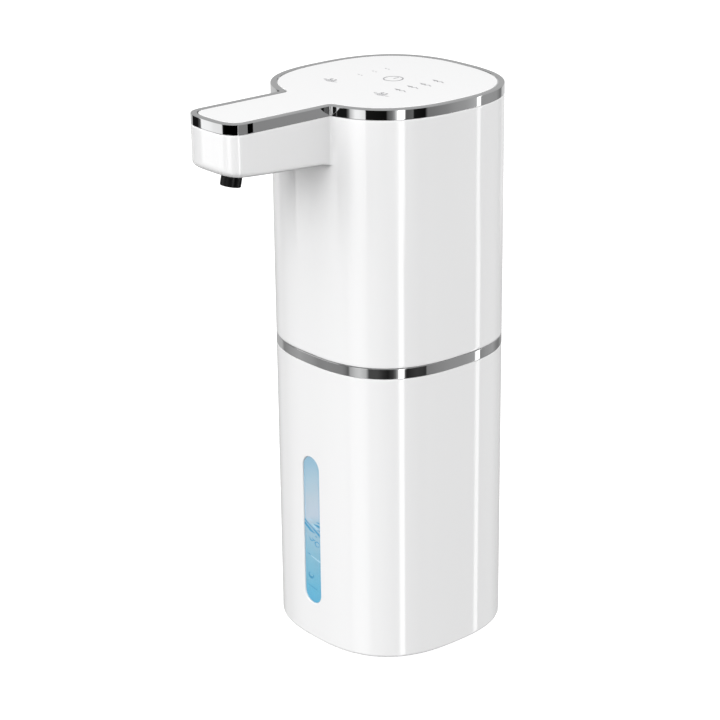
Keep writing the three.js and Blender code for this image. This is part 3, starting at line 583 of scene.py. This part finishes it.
def build_window():
    """A thin clear lens in the slot, the soap behind it, and the film lines between the two."""
    clearance, lens_front, lens_back, soap_front = 0.06, 0.04, 0.36, 0.42
    lens = slot_plug("window_lens", clearance, lens_front, lens_back, CLEAR, 7)
    place(lens, "tank", "clear_window", "level_window")
    soap = slot_plug("soap_column", clearance, soap_front, WALL + 1, SOAP, 12)
    place(soap, "tank", "soap")

    def on_window(plan, lift):
        y = body_front_y(plan[:, 0], 0) + 0.41 - lift
        return np.column_stack([plan[:, 0], y, plan[:, 1] + SOAP_LEVEL])

    arcs = []
    for x, z, half_x, half_z, first, last, width in BUBBLES:
        turns = np.radians(np.linspace(first, last, 18))
        points = np.stack([x + half_x * np.cos(turns), z + half_z * np.sin(turns)], axis=1)
        arcs.append((points, (width * 0.3, width, width * 0.4)))
    film = ribbons("soap_film", smooth_lines(FILM_LINES) + arcs, on_window, FILM)
    place(film, "tank", "soap")
    pale = ribbons("thin_soap_film", smooth_lines(PALE_LINES), on_window, THIN_FILM)
    place(pale, "tank", "soap")


# ---------- head shell ----------
FRONT_REACH = 25.0  # the body's front is only worked out this far to either side
TIP_BLEND = 14.0  # the spout's lower edge gets rounder over this length
EDGE_RADIUS, TIP_EXTRA = 1.5, 0.9  # rounding of the spout's lower edge, and how much more at the tip
ROOT_RADIUS = 1.1  # rounding between the spout's underside and the body
GAP_SHARE = 0.45  # neither rounding takes more of the way from the outline back to the body
FAN_LENGTH, FAN_RISE = 14.0, 5.0  # how the body's rows spread, away from the spout's sides


def front_y(x, inset):
    return body_front_y(np.clip(x, -FRONT_REACH, FRONT_REACH), inset)


def under_z(y, inset):
    return UNDER_AT_BODY + UNDER_SLOPE * (-HALF_DEPTH - y) + inset


def head_surface(inset, top, bottom, lip, round_steps):
    """Columns of points down the outside of the head, under the spout and down the body's front.

    The result has one row per level and one column per outline point.
    """
    outline = head_outline(inset)
    inward = inward_normals(outline)
    count = len(outline)
    on_body = np.arange(count) < BODY_POINTS
    gap = np.where(on_body, 0, np.maximum(front_y(outline[:, 0], inset) - outline[:, 1], 0))
    tipness = np.clip((SPOUT_TIP_Y + TIP_BLEND - outline[:, 1]) / TIP_BLEND, 0, 1)
    edge_radius = np.minimum(EDGE_RADIUS + TIP_EXTRA * tipness, GAP_SHARE * gap)
    root_radius = np.minimum(ROOT_RADIUS, GAP_SHARE * gap)
    inner_edge = outline + inward * edge_radius[:, None]

    first_side = BODY_POINTS + FILLET_POINTS - 1
    last_side = count - FILLET_POINTS
    spout = np.arange(first_side, last_side + 1)
    steps = np.linalg.norm(np.diff(outline[spout], axis=0), axis=1)
    share = np.concatenate([[0], np.cumsum(steps)]) / steps.sum()
    front_x = inner_edge[:, 0].copy()
    front_x[spout] = inner_edge[first_side, 0] * (1 - 2 * share)
    front = np.stack([front_x, front_y(front_x, inset)], axis=1)
    front[on_body] = outline[on_body]
    outward = np.array([body_normal(p, inset) for p in front])

    steps = np.linalg.norm(np.diff(outline[:BODY_POINTS], axis=0), axis=1)
    from_start = np.concatenate([[0], np.cumsum(steps)])
    distance = np.minimum(from_start, from_start[-1] - from_start)
    ramp = np.clip(distance / FAN_LENGTH, 0, 1)
    fan = np.zeros(count)
    fan[:BODY_POINTS] = ramp * ramp * (3 - 2 * ramp) * FAN_RISE

    rows = []

    def add(plan, height):
        rows.append(np.column_stack([plan, height]))

    for turn in np.linspace(0, math.pi / 2, 4):
        add(outline + inward * lip * (1 - math.sin(turn)), np.full(count, top - lip * (1 - math.cos(turn))))
    levels = 2 * round_steps + 8
    rank = iter(np.linspace(1, -1, levels))
    edge_top = under_z(outline[:, 1], inset) + edge_radius
    centre_height = np.where(on_body, under_z(outline[:, 1], inset), 0)
    centre_height[:BODY_POINTS] = under_z(outline[0, 1], inset)
    wall_top = top - lip
    first_height = np.where(on_body, centre_height + fan, edge_top)
    for share_down in (0.04, 0.2, 0.4, 0.6, 0.8, 0.93):
        add(outline, wall_top + (first_height - wall_top) * share_down)

    def under(plan, drop):
        level = next(rank)
        height = under_z(plan[:, 1], inset) + drop
        plan = np.where(on_body[:, None], outline, plan)
        add(plan, np.where(on_body, centre_height + fan * level, height))

    for turn in np.linspace(0, math.pi / 2, round_steps + 1):
        plan = outline + inward * (edge_radius * (1 - math.cos(turn)))[:, None]
        under(plan, edge_radius * (1 - math.sin(turn)))
    root = front + outward * root_radius[:, None]
    for share_in in (0.02, 0.2, 0.4, 0.6, 0.8, 0.98):
        under(inner_edge + (root - inner_edge) * share_in, np.zeros(count))
    for turn in np.linspace(0, math.pi / 2, round_steps + 1):
        plan = front + outward * (root_radius * (1 - math.sin(turn)))[:, None]
        under(plan, -root_radius * (1 - math.cos(turn)))
    last = rows[-1][:, 2]
    for share_down in (0.01, 0.1, 0.25, 0.4, 0.55, 0.7, 0.85, 0.99):
        add(front, last + (bottom + lip - last) * share_down)
    inward_front = -outward
    inward_front[on_body] = inward[on_body]
    for turn in np.linspace(0, math.pi / 2, 4):
        plan = front + inward_front * lip * (1 - math.cos(turn))
        add(plan, np.full(count, bottom + lip * (1 - math.sin(turn))))
    return np.stack(rows)


def build_head_shell():
    """The casing with the hook pocket and keyhole, and the holes for port, sensor and nozzle."""
    top, bottom = SHELL_HIGH[2], BAND_HIGH[2] + 0.1
    outer = head_surface(0, top, bottom, 0.3, 7)
    inner = head_surface(WALL, top, bottom, 0.15, 3)
    grid = np.concatenate([outer, inner[::-1]])
    rows = ring_rows(grid)
    shell = mesh_object("head_casing", grid.reshape(-1, 3), strip(rows + [rows[0]]), WHITE)

    inside = HALF_DEPTH - WALL
    plate_height = (WALL_PLATE_LOW[2] + WALL_PLATE_HIGH[2]) / 2
    pocket_z = plate_height - POCKET_DROP
    back = HALF_DEPTH + 1
    pocket_shape = rounded_rectangle(*POCKET, 1.2) + [0, pocket_z]
    hollow_shape = rounded_rectangle(*POCKET_HOLLOW, 0.8) + [0, pocket_z]
    entry_shape = rounded_rectangle(*KEYHOLE_ENTRY, 1.2) + [0, plate_height - ENTRY_DROP]
    slot_shape = rounded_rectangle(*KEYHOLE_SLOT, 0.8) + [0, plate_height - SLOT_DROP]
    combine(shell, [prism("pocket", pocket_shape, inside - 4.2, inside + 1, None)], "UNION")
    hollow = prism("pocket hollow", hollow_shape, inside - 2.7, inside + 0.2, None)
    entry = prism("keyhole entry", entry_shape, inside - 0.2, back, None)
    slot = prism("keyhole slot", slot_shape, inside - 0.2, back, None)
    port = prism("port hole", rounded_rectangle(*PORT_HOLE, 2.3) + [0, PORT_Z], inside - 1, back, None)
    sensor_shape = rounded_rectangle(*SENSOR_HOLE, 2.6) + [0, SENSOR_Y]
    sensor = prism("sensor hole", sensor_shape, SENSOR_LOW[2] - 8, SENSOR_HIGH[2] + 5, None, axis="z")
    hole_radius = NOZZLE_RADIUS + 0.3
    nozzle = lathe("nozzle hole", [(0, 3), (hole_radius, 3), (hole_radius, 11), (0, 11)], None, 48)
    tilt_nozzle(nozzle)
    combine(shell, [hollow, entry, port, sensor, nozzle])
    combine(shell, [slot])
    shell.visible_glossy = False
    place(shell, "head", "white_plastic", "head_shell")


def tilt_nozzle(obj):
    turn = Matrix.Rotation(-NOZZLE_TILT, 4, "X")
    obj.data.transform(Matrix.Translation(Vector(NOZZLE_FOOT * MM)) @ turn)


def build_middle_band():
    low, high, thick = BAND_LOW[2], BAND_HIGH[2], 2.1
    band = loft("middle_chrome_band", rounded_profile([
        (1, low, 0), (0, low, 0.18), (0, high, 0.18), (thick, high, 0.1), (thick, low, 0.1), (1, low, 0),
    ], 4, 0.1), body_outline, CHROME, closed=True)
    place(band, "head", "chrome_trim", "mid_band")


def build_top_rim():
    low, high, thick = RIM_LOW[2] - 0.1, RIM_HIGH[2], 2.0
    rim = loft("top_chrome_rim", rounded_profile([
        (1, low, 0), (0, low, 0.12), (0, high, 0.4), (thick, high, 0.25), (thick, low, 0.1), (1, low, 0),
    ], 5, 0.1), head_outline, CHROME, closed=True)
    place(rim, "head", "chrome_trim", "top_rim")


def build_touch_panel():
    """A flat sheet with rounded edges and a rib round its underside."""
    low, high, sheet = PLATE_LOW[2], PLATE_HIGH[2], TOP - 2.6
    edge, rib_out, rib_in = 2.3, 2.6, 3.8
    plate = loft("touch_panel", rounded_profile([
        (rib_in, sheet + 0.4, 0), (rib_in, low, 0.2), (rib_out, low, 0.2), (rib_out, sheet, 0.1),
        (edge, sheet, 0.1), (edge, high, 0.35), (3.6, high, 0),
    ], 5, 0.1), head_outline, WHITE)
    plate.visible_glossy = False
    place(plate, "head", "white_plastic", "top_plate")


def build_nozzle():
    """A spigot with a recessed mouth, and the flange and neck that hold it inside the spout."""
    mouth, recess = 2.7, 1.0
    wide, flange, flange_top = 5.2, 9.5, 10.8
    neck, height = 4, 16.6
    corners = [
        (0, recess, 0), (mouth, recess, 0.1), (mouth, 0, 0.25), (NOZZLE_RADIUS, 0, 0.45),
        (NOZZLE_RADIUS, flange, 0.2), (wide, flange, 0.2), (wide, flange_top, 0.2), (neck, flange_top, 0.2),
        (neck, height, 0.4), (0, height, 0),
    ]
    nozzle = lathe("foam_nozzle", rounded_profile(corners, 5, 0.1), BLACK, 72)
    tilt_nozzle(nozzle)
    place(nozzle, "head", "black_plastic", "nozzle_body")


def build_sensor_window():
    """A lozenge of dark lens, level with the spout's sloping underside."""
    thick = 1.8
    lens = prism("sensor_lens", rounded_rectangle(*SENSOR_LENS, 2.4, 10), 0, thick, LENS_DARK, "z", 0.3)
    slope = Matrix.Rotation(-math.atan(UNDER_SLOPE), 4, "X")
    foot = Vector((0, SENSOR_Y, under_z(SENSOR_Y, 0) + 0.05)) * MM
    lens.data.transform(Matrix.Translation(foot) @ slope)
    place(lens, "head", "dark_lens", "sensor_window")


# ---------- back: port cover and wall plate ----------
def build_port_cover():
    """A curved silicone flap with a thumb groove, and the plug that fills the charging socket."""
    width, height, radius = 14.4, 8.2, 1.6

    def ring_at(inset):
        corner = max(radius - inset, 0.01)
        return rounded_rectangle(width - 2 * inset, height - 2 * inset, corner) + [0, PORT_Z]

    cover = curved_plug("charging_port_cover", ring_at, height / 2 - 0.02, -1.35, -0.25, 0.4, 1, SILICONE)
    plug_shape = rounded_rectangle(*PORT_PLUG, 1.4) + [0, PORT_Z]
    plug = prism("plug", plug_shape, HALF_DEPTH - 1.2, HALF_DEPTH + 0.8, None)
    combine(cover, [plug], "UNION")
    groove_shape = rounded_rectangle(*THUMB_GROOVE, 0.34) + [0, FLAP_HIGH[2] - 1.4]
    groove = prism("groove", groove_shape, HALF_DEPTH + 1, HALF_DEPTH + 3, None)
    combine(cover, [groove])
    place(cover, "port_flap", "silicone", "port_cover")


def build_wall_plate():
    """A plate with a hook on its front, and the adhesive pad behind it."""
    low, high = WALL_PLATE_LOW, WALL_PLATE_HIGH
    middle = (low[2] + high[2]) / 2
    front = HALF_DEPTH + 0.3
    width, height = high[0] - low[0], high[2] - low[2]
    plate = prism("wall_hook_plate", rounded_rectangle(width, height, 3) + [0, middle], front, high[1], WHITE,
                  bevel=0.6)
    hook_z = middle + 1.3
    neck = prism("neck", rounded_rectangle(*HOOK_NECK, 0.5) + [0, hook_z], low[1] + 1, front + 0.5, None)
    knob_shape = rounded_rectangle(*HOOK_KNOB, 1.2) + [0, hook_z - 0.2]
    knob = prism("knob", knob_shape, low[1], low[1] + 1.85, None, bevel=0.4)
    combine(plate, [neck, knob], "UNION")
    place(plate, "wall_bracket", "white_plastic", "wall_plate")

    low, high = WALL_PAD_LOW, WALL_PAD_HIGH
    pad_shape = rounded_rectangle(high[0] - low[0], high[2] - low[2], 2.5) + [0, middle]
    pad = prism("wall_adhesive_pad", pad_shape, low[1], high[1], TAPE, bevel=0.12)
    place(pad, "wall_bracket", "foam_tape", "adhesive_pad")


# ---------- underside of the pump head ----------
def build_tray():
    """The tray that closes the pump head, with a nipple for the suction tube and four screws."""
    outer, thick, middle = HALF_WIDTH - TRAY_HIGH[0], 2.4, 12
    inner = HALF_WIDTH - TRAY_HIGH[0] + 1.7
    slab_low, skirt_low = TRAY_HIGH[2] - thick, BAND_LOW[2] + 0.4
    tray = loft("pump_tray", rounded_profile([
        (middle, slab_low, 0), (inner, slab_low, 0.5), (inner, skirt_low, 0.35),
        (outer, skirt_low, 0.35), (outer, slab_low + thick, 0.4), (middle, slab_low + thick, 0),
    ]), body_outline, PUMP)

    stem_top, stem_low = TRAY_HIGH[2] + 3.9, slab_low - 7.2
    combine(tray, [rod("nipple", 1.7, stem_low, stem_top, NIPPLE_X, NIPPLE_Y, 40)], "UNION")
    tools = [rod("bore", 1, stem_low - 1, stem_top + 1, NIPPLE_X, NIPPLE_Y)]
    for number in range(1, 5):
        low, high = box_mm(f"base_screw_{number}")
        x, y = (low[:2] + high[:2]) / 2
        tools.append(rod("hole", 1.6, low[2], high[2], x, y))
        build_screw(number, x, y, low[2])
    combine(tray, tools)
    place(tray, "head", "inner_plastic", "head_base")


def build_seal():
    outer = HALF_WIDTH - GASKET_HIGH[0]
    inner, middle = outer + 1.8, outer + 0.9
    low, high = GASKET_LOW[2], GASKET_HIGH[2]
    seal = loft("tank_seal", rounded_profile([
        (middle, low, 0), (outer, low, 0.35), (outer, high, 0.35), (inner, high, 0.35), (inner, low, 0.35),
        (middle, low, 0),
    ], 4, 0.05), body_outline, SILICONE, closed=True)
    place(seal, "head", "silicone", "tank_gasket")


def build_suction_tube():
    radius, bore = (TUBE_HIGH[0] - TUBE_LOW[0]) / 2, 2.1
    low, high = TUBE_LOW[2], TUBE_HIGH[2]
    tube = lathe("suction_line", rounded_profile([
        (2.5, low, 0), (radius, low, 0.3), (radius, high, 0.3), (bore, high, 0.2), (bore, low, 0.2),
        (2.5, low, 0),
    ], 4, 0.05), HOSE, 48, closed=True)
    shift(tube, NIPPLE_X, NIPPLE_Y)
    place(tube, "head", "hose", "suction_tube")


def build_strainer():
    """A cap with slots all round, at the foot of the suction tube."""
    radius, bore = (FILTER_HIGH[0] - FILTER_LOW[0]) / 2, 3.3
    low, high = FILTER_LOW[2], FILTER_HIGH[2]
    strainer = lathe("suction_strainer", rounded_profile([
        (0, low, 0), (radius, low, 1.0), (radius, high, 0.3), (bore, high, 0.3), (bore, low + 1, 0.3),
        (0, low + 1, 0),
    ], 5, 0.1), PUMP, 56)
    slots = []
    for turn in range(0, 180, 30):
        slot = prism("slot", rounded_rectangle(12, 0.9, 0.3, 3), low + 1.4, low + 4.2, None, axis="z")
        slot.data.transform(Matrix.Rotation(math.radians(turn), 4, "Z"))
        slots.append(slot)
    combine(strainer, slots)
    shift(strainer, NIPPLE_X, NIPPLE_Y)
    place(strainer, "head", "inner_plastic", "suction_filter")


def build_screw(number, x, y, low):
    """A pan-head screw with a cross recess, head down."""
    head, shank, head_top, point = 2.6, 1.15, low + 2.0, low + 12
    corners = [
        (0, low, 0), (head, low, 0.9), (head, head_top, 0.15), (shank, head_top, 0.1), (shank, low + 11, 0.1),
        (0, point, 0),
    ]
    screw = lathe(f"tray_screw_{number}", rounded_profile(corners, 5, 0.05), STEEL, 40)
    bars = [rounded_rectangle(*bar, 0.1, 2) for bar in ((3, 0.6), (0.6, 3))]
    combine(screw, [prism("cross", bar, low - 1, low + 0.9, None, axis="z") for bar in bars])
    shift(screw, x, y)
    place(screw, "head", "steel", f"base_screw_{number}")


# ---------- printed symbols ----------
def ribbons(name, lines, lay, material, thick=0.03):
    """Flat lines with tapering widths as thin closed solids. lay(points, lift) puts points on the surface."""
    vertices, faces, offset = [], [], 0
    for points, widths in lines:
        points = np.asarray(points, float)
        count = len(points)
        along = np.gradient(points, axis=0)
        side = np.stack([-along[:, 1], along[:, 0]], axis=1)
        width = np.interp(np.linspace(0, 1, count), np.linspace(0, 1, len(widths)), widths)
        side = side / np.linalg.norm(side, axis=1)[:, None] * width[:, None] / 2
        left, right = points - side, points + side
        rails = [lay(left, 0), lay(left, thick), lay(right, thick), lay(right, 0)]
        rows = [np.arange(count) + k * count + offset for k in range(4)]
        faces += strip(rows + [rows[0]], cyclic=False)
        faces.append(tuple(int(r[0]) for r in rows))
        faces.append(tuple(int(r[-1]) for r in rows[::-1]))
        vertices += rails
        offset += 4 * count
    return mesh_object(name, np.concatenate(vertices), faces, material)


def smooth_lines(lines, count=20):
    """Replaces each line's points by points along a smooth curve through them."""
    result, steps = [], np.linspace(0, 1, count)
    for points, widths in lines:
        knots = np.linspace(0, 1, len(points))
        columns = np.asarray(points, float).T
        curve = np.stack([np.polyval(np.polyfit(knots, column, 3), steps) for column in columns])
        result.append((curve.T, widths))
    return result


def arc(x, y, radius, start, end, count):
    turns = np.radians(np.linspace(start, end, count))
    return np.stack([x + radius * np.cos(turns), y + radius * np.sin(turns)], axis=1)


# Where the printed marks are on the touch panel, as (x, y).
RING_SPOT, RING_RADIUS = (-0.7, 3.4), 3.4
HAND_SPOTS = [(-13.7, -14.5, 2.9), (13.5, -14.5, 3.3)]  # with their reach to either side
LEVEL_SPOTS = [(13.6, -5.9), (13.1, 0.2), (13.5, 5.8), (12.8, 12.2)]
LAMP_SPOTS = [(-12.9, -1.4), (-13.3, 5.6), (-13.2, 11.5)]


def build_symbols():
    """A power ring, two hands under drops, and two columns of level marks, all in thin grey print."""
    lines = []
    stroke, bold = (0.28, 0.34, 0.28), (0.42, 0.42)

    def dash(x, y, length, rise):
        lines.append(([(x - length / 2, y - rise), (x, y), (x + length / 2, y + rise)], stroke))

    def wave(x, y, length, height, waves):
        t = np.linspace(0, 1, 20)
        swing = y + height * np.sin(2 * math.pi * waves * t)
        lines.append((np.stack([x + length * (t - 0.5), swing], axis=1), stroke))

    def circle(x, y, radius):
        lines.append((arc(x, y, radius, 0, 358, 20), stroke))

    x, y = RING_SPOT
    lines.append((arc(x, y, RING_RADIUS, 0, 359, 72), bold))
    lines.append(([(x, y + 0.2), (x, y + 1.4), (x, y + 2.6)], bold))
    for x, y, reach in HAND_SPOTS:
        dash(x - reach, y + 0.3, 1.3, 0.2)
        dash(x + reach, y - 0.2, 1.2, 0.3)
        for k in range(3):
            wave(x, y - 0.9 + 0.85 * k, 4.6 - 0.6 * k, 0.25, 1.5)
        circle(x - 1.2, y + 1.8, 0.45)
        circle(x + 0.8, y + 1.9, 0.35)
    for x, y in LEVEL_SPOTS:
        dash(x - 2.5, y + 0.2, 0.9, 0.15)
        dash(x + 2.6, y - 0.1, 1.0, -0.15)
        wave(x + 0.3, y, 3.4, 0.55, 1.5)
        circle(x - 1.3, y - 0.2, 0.4)
    for x, y in LAMP_SPOTS:
        dash(x - 0.8, y, 0.8, 0.1)
        dash(x + 0.8, y, 0.7, -0.1)

    def on_plate(plan, lift):
        return np.column_stack([plan, np.full(len(plan), PLATE_HIGH[2] + 0.01 + lift)])

    symbols = ribbons("printed_symbols", lines, on_plate, PRINT)
    place(symbols, "head", "black_plastic")


# ---------- carried-over nodes ----------
FINISHES = {
    "foam_mesh": STEEL, "outlet_hose": HOSE, "inlet_hose": HOSE, "ir_emitter": LENS_DARK,
    "ir_receiver": LENS_DARK, "sensor_board": BOARD, "touch_board": BOARD, "main_board": BOARD,
    "charge_board": BOARD, "control_chip": BLACK, "power_light_guide": LAMP, "ribbon_cable": LAMP,
    "battery_cell": WRAP, "battery_holder": PUMP, "usb_socket": STEEL, "pump_cushion": RUBBER,
    "pump_head": PUMP, "pump_diaphragm": SILICONE, "pump_frame": PUMP, "wobble_plate": PUMP,
    "eccentric_wheel": PUMP, "drive_pin": STEEL, "motor_shaft": STEEL, "motor_can": STEEL,
    "motor_endcap": BLACK, "motor_magnet_1": FERRITE, "motor_magnet_2": FERRITE, "armature": IRON,
}
for number in range(1, 5):
    FINISHES[f"level_led_{number}"] = LAMP


def dress_nodes():
    for node, material in FINISHES.items():
        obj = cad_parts[node]
        obj.data.materials.clear()
        obj.data.materials.append(material)


# ---------- studio ----------
def build_floor():
    """A large pale floor that only the camera sees, just under the resting plane."""
    size, depth = 3000, -0.2
    corners = [(-size, -size, depth), (size, -size, depth), (size, size, depth), (-size, size, depth)]
    floor = mesh_object("floor", corners, [(0, 1, 2, 3)], None)
    material, _, surface = shader("pale floor", (0.35, 0.35, 0.35), 0.9)
    surface.inputs["Emission Color"].default_value = (1, 1, 1, 1)
    surface.inputs["Emission Strength"].default_value = 0.94
    floor.data.materials.append(material)
    floor.visible_glossy = False
    floor.visible_diffuse = False


# Dark and grey cards close to the spout's end, which only its trim sees: from one outline angle to the next.
TIP_CARDS = [(-50.5, -23.6, 0.0), (-23.4, -5.9, 0.25), (-5.5, 4.0, 0.0)]
CARD_DISTANCE = 1.5


def build_tip_cards():
    low, high = RIM_LOW[2] - 0.6, TOP
    half, depth = SPOUT_HALF_WIDTH + CARD_DISTANCE, SPOUT_TIP_DEPTH + CARD_DISTANCE
    for number, (start, end, brightness) in enumerate(TIP_CARDS):
        turns = np.radians(np.linspace(start, end, 24))
        plan = superellipse(half, depth, SPOUT_TIP_EXPONENT, turns) + [0, SPOUT_TIP_Y + SPOUT_TIP_DEPTH]
        rings = [np.column_stack([plan, np.full(len(plan), z)]) for z in (low, high)]
        name = f"tip card {number + 1}"
        card = mesh_object(name, np.concatenate(rings), strip(ring_rows(rings), cyclic=False), None)
        material, _, surface = shader(name, (0, 0, 0), 1.0)
        surface.inputs["Specular IOR Level"].default_value = 0.0
        surface.inputs["Emission Color"].default_value = (1, 1, 1, 1)
        surface.inputs["Emission Strength"].default_value = brightness
        card.data.materials.append(material)
        card.visible_camera = False
        card.visible_diffuse = False
        card.visible_transmission = False
        card.visible_shadow = False


# Strip lights seen in gloss, as (azimuth in degrees, brightness) from where the spout's trim and the upper
# body see them. Between two stops the brightness runs straight.
HIGH_STRIPS = [
    (-180, 0.62), (-174, 0.55), (-171, 0.01), (-150.5, 0.01), (-149.5, 0.06),
    (-146.6, 0.12), (-145.8, 1.16), (-137, 1.0), (-118, 0.97),
    (-111.5, 0.85), (-110.5, 0.01), (-97.5, 0.01), (-94, 0.2), (-92, 0.62), (-85, 1.1), (-80, 1.12),
    (-70, 0.96), (-68.8, 0.01), (-38, 0.005), (-36, 0.1), (-29, 0.21), (-25.5, 0.4), (-22, 1.0),
    (-19, 2.5), (-12.5, 2.5), (-11, 0.9), (-9.8, 0.11), (0, 0.15), (1.2, 0.01), (15, 0.005), (18, 0.2),
    (25, 0.22), (36, 0.27), (44, 0.37), (52, 0.5), (53, 2.2), (55.6, 2.2), (56.8, 0.34), (67, 0.36),
    (85, 0.34), (98, 0.18), (108, 0.67), (180, 0.62),
]
# The same from where the middle band and the tank see them.
LOW_STRIPS = [
    (-180, 0.5), (-177, 0.5), (-170, 0.26), (-157, 0.36), (-146, 0.42), (-140, 0.34), (-136, 0.27),
    (-128, 0.29), (-108, 0.26), (-104, 0.21), (-99.5, 0.13), (-97, 0.44), (-89, 0.64), (-83, 0.71),
    (-73, 0.55), (-70.5, 0.32), (-68, 0.075), (-55, 0.075), (-46, 0.035), (-38, 0.015), (-30, 0.05),
    (-26, 0.15), (-22.5, 0.5), (-20, 2.5), (-14.5, 2.5), (-12.5, 0.2), (-10, 0.02), (4, 0.05), (12, 0.045),
    (15.5, 0.035), (17, 0.24), (31, 0.29), (44, 0.34), (52, 0.4), (54, 2.2), (57, 2.2), (58.2, 0.28),
    (67, 0.35), (82, 0.4), (92, 0.26), (101, 0.21), (116, 0.37), (180, 0.5),
]
MOST_STOPS = 30  # in one colour ramp
BRIGHTEST = 2.6  # a ramp only holds 0 to 1, so its colours are shares of this


def strips(tree, azimuth, stops):
    """Brightness over azimuth, made of as many colour ramps as the stops need."""
    result = None
    for first in range(0, len(stops) - 1, MOST_STOPS - 1):
        part = stops[first:first + MOST_STOPS]
        start, end = part[0][0], part[-1][0]
        ramp = color_ramp(tree, fade(tree, azimuth, start, end), [
            ((angle - start) / (end - start), (value / BRIGHTEST,) * 3) for angle, value in part
        ])
        value = math_node(tree, "MULTIPLY", ramp, BRIGHTEST)
        if result is None:
            result = value
            continue
        later = math_node(tree, "GREATER_THAN", azimuth, start)
        result = blend(tree, later, result, value)
    return result


SKY = 0.94  # soft light from above the horizon
GROUND = 0.17  # and from below it
SIDE = 0.24  # more of both from +X
HORIZON = 0.08  # how far the one blends into the other, in Z
CEILING = 0.46  # seen in gloss, from CEILING_BLEND degrees up
CEILING_BLEND = (-6, 6)
LOW_BLEND = (-16.5, -18.5)  # degrees between HIGH_STRIPS and LOW_STRIPS
# Softboxes as (azimuth, elevation, brightness, tightness): a large one in front and weak ones behind.
SOFTBOXES = [(-90, 28, 3.2, 8), (65, 5, 0.75, 5), (105, -10, 1.8, 6)]


def build_world():
    """White for the camera, strips and ceiling for gloss, and soft light for everything else."""
    world = bpy.data.worlds.new("studio")
    world.use_nodes = True
    bpy.context.scene.world = world
    tree = world.node_tree
    background = tree.nodes["Background"]
    place_node = tree.nodes.new("ShaderNodeTexCoord")
    split = tree.nodes.new("ShaderNodeSeparateXYZ")
    tree.links.new(place_node.outputs["Generated"], split.inputs["Vector"])
    x, y, z = split.outputs
    azimuth = math_node(tree, "MULTIPLY", math_node(tree, "ARCTAN2", y, x), 180 / math.pi)
    elevation = math_node(tree, "MULTIPLY", math_node(tree, "ARCSINE", z), 180 / math.pi)
    high, low = strips(tree, azimuth, HIGH_STRIPS), strips(tree, azimuth, LOW_STRIPS)
    gloss = blend(tree, fade(tree, elevation, *LOW_BLEND), high, low)
    gloss = blend(tree, fade(tree, elevation, *CEILING_BLEND), gloss, CEILING)

    soft = blend(tree, fade(tree, z, -HORIZON, HORIZON), GROUND, SKY)
    soft = math_node(tree, "ADD", soft, math_node(tree, "MULTIPLY", x, SIDE))
    for turn, rise, brightness, tightness in SOFTBOXES:
        turn, rise = math.radians(turn), math.radians(rise)
        middle = (math.cos(turn) * math.cos(rise), math.sin(turn) * math.cos(rise), math.sin(rise))
        towards = tree.nodes.new("ShaderNodeVectorMath")
        towards.operation = "DOT_PRODUCT"
        towards.inputs[1].default_value = middle
        tree.links.new(place_node.outputs["Generated"], towards.inputs[0])
        box = math_node(tree, "MAXIMUM", towards.outputs["Value"], 0)
        box = math_node(tree, "MULTIPLY", math_node(tree, "POWER", box, tightness), brightness)
        soft = math_node(tree, "ADD", soft, box)

    path = tree.nodes.new("ShaderNodeLightPath")
    lit = blend(tree, path.outputs["Is Glossy Ray"], soft, gloss)
    tree.links.new(blend(tree, path.outputs["Is Camera Ray"], lit, 1.0), background.inputs["Color"])


CAMERA_TURN = (50.027, 20.834, -0.648)  # azimuth, elevation and roll in degrees
CAMERA_TARGET = Vector((-0.007133, -0.007843, 0.100843))  # metres
CAMERA_DISTANCE = 0.809632
CAMERA_LENS, CAMERA_SENSOR = 110.873, 36


def build_camera():
    azimuth, elevation, roll = (math.radians(v) for v in CAMERA_TURN)
    right = Vector((math.cos(azimuth), math.sin(azimuth), 0))
    level = math.cos(elevation)
    forward = Vector((-math.sin(azimuth) * level, math.cos(azimuth) * level, -math.sin(elevation)))
    up = right.cross(forward)
    rolled_right = right * math.cos(roll) + up * math.sin(roll)
    rolled_up = up * math.cos(roll) - right * math.sin(roll)
    data = bpy.data.cameras.new("camera")
    data.lens, data.sensor_width = CAMERA_LENS, CAMERA_SENSOR
    data.clip_start, data.clip_end = 0.01, 20
    camera = bpy.data.objects.new("camera", data)
    rotation = Matrix((rolled_right, rolled_up, -forward)).transposed()
    camera.matrix_world = Matrix.Translation(CAMERA_TARGET - forward * CAMERA_DISTANCE) @ rotation.to_4x4()
    bpy.context.scene.collection.objects.link(camera)
    bpy.context.scene.camera = camera


bpy.context.scene.view_settings.view_transform = "Standard"
build_camera()
build_floor()
build_tip_cards()
build_world()
build_tank()
build_pad()
build_window()
build_head_shell()
build_middle_band()
build_top_rim()
build_touch_panel()
build_nozzle()
build_sensor_window()
build_port_cover()
build_wall_plate()
build_tray()
build_seal()
build_suction_tube()
build_strainer()
build_symbols()
dress_nodes()
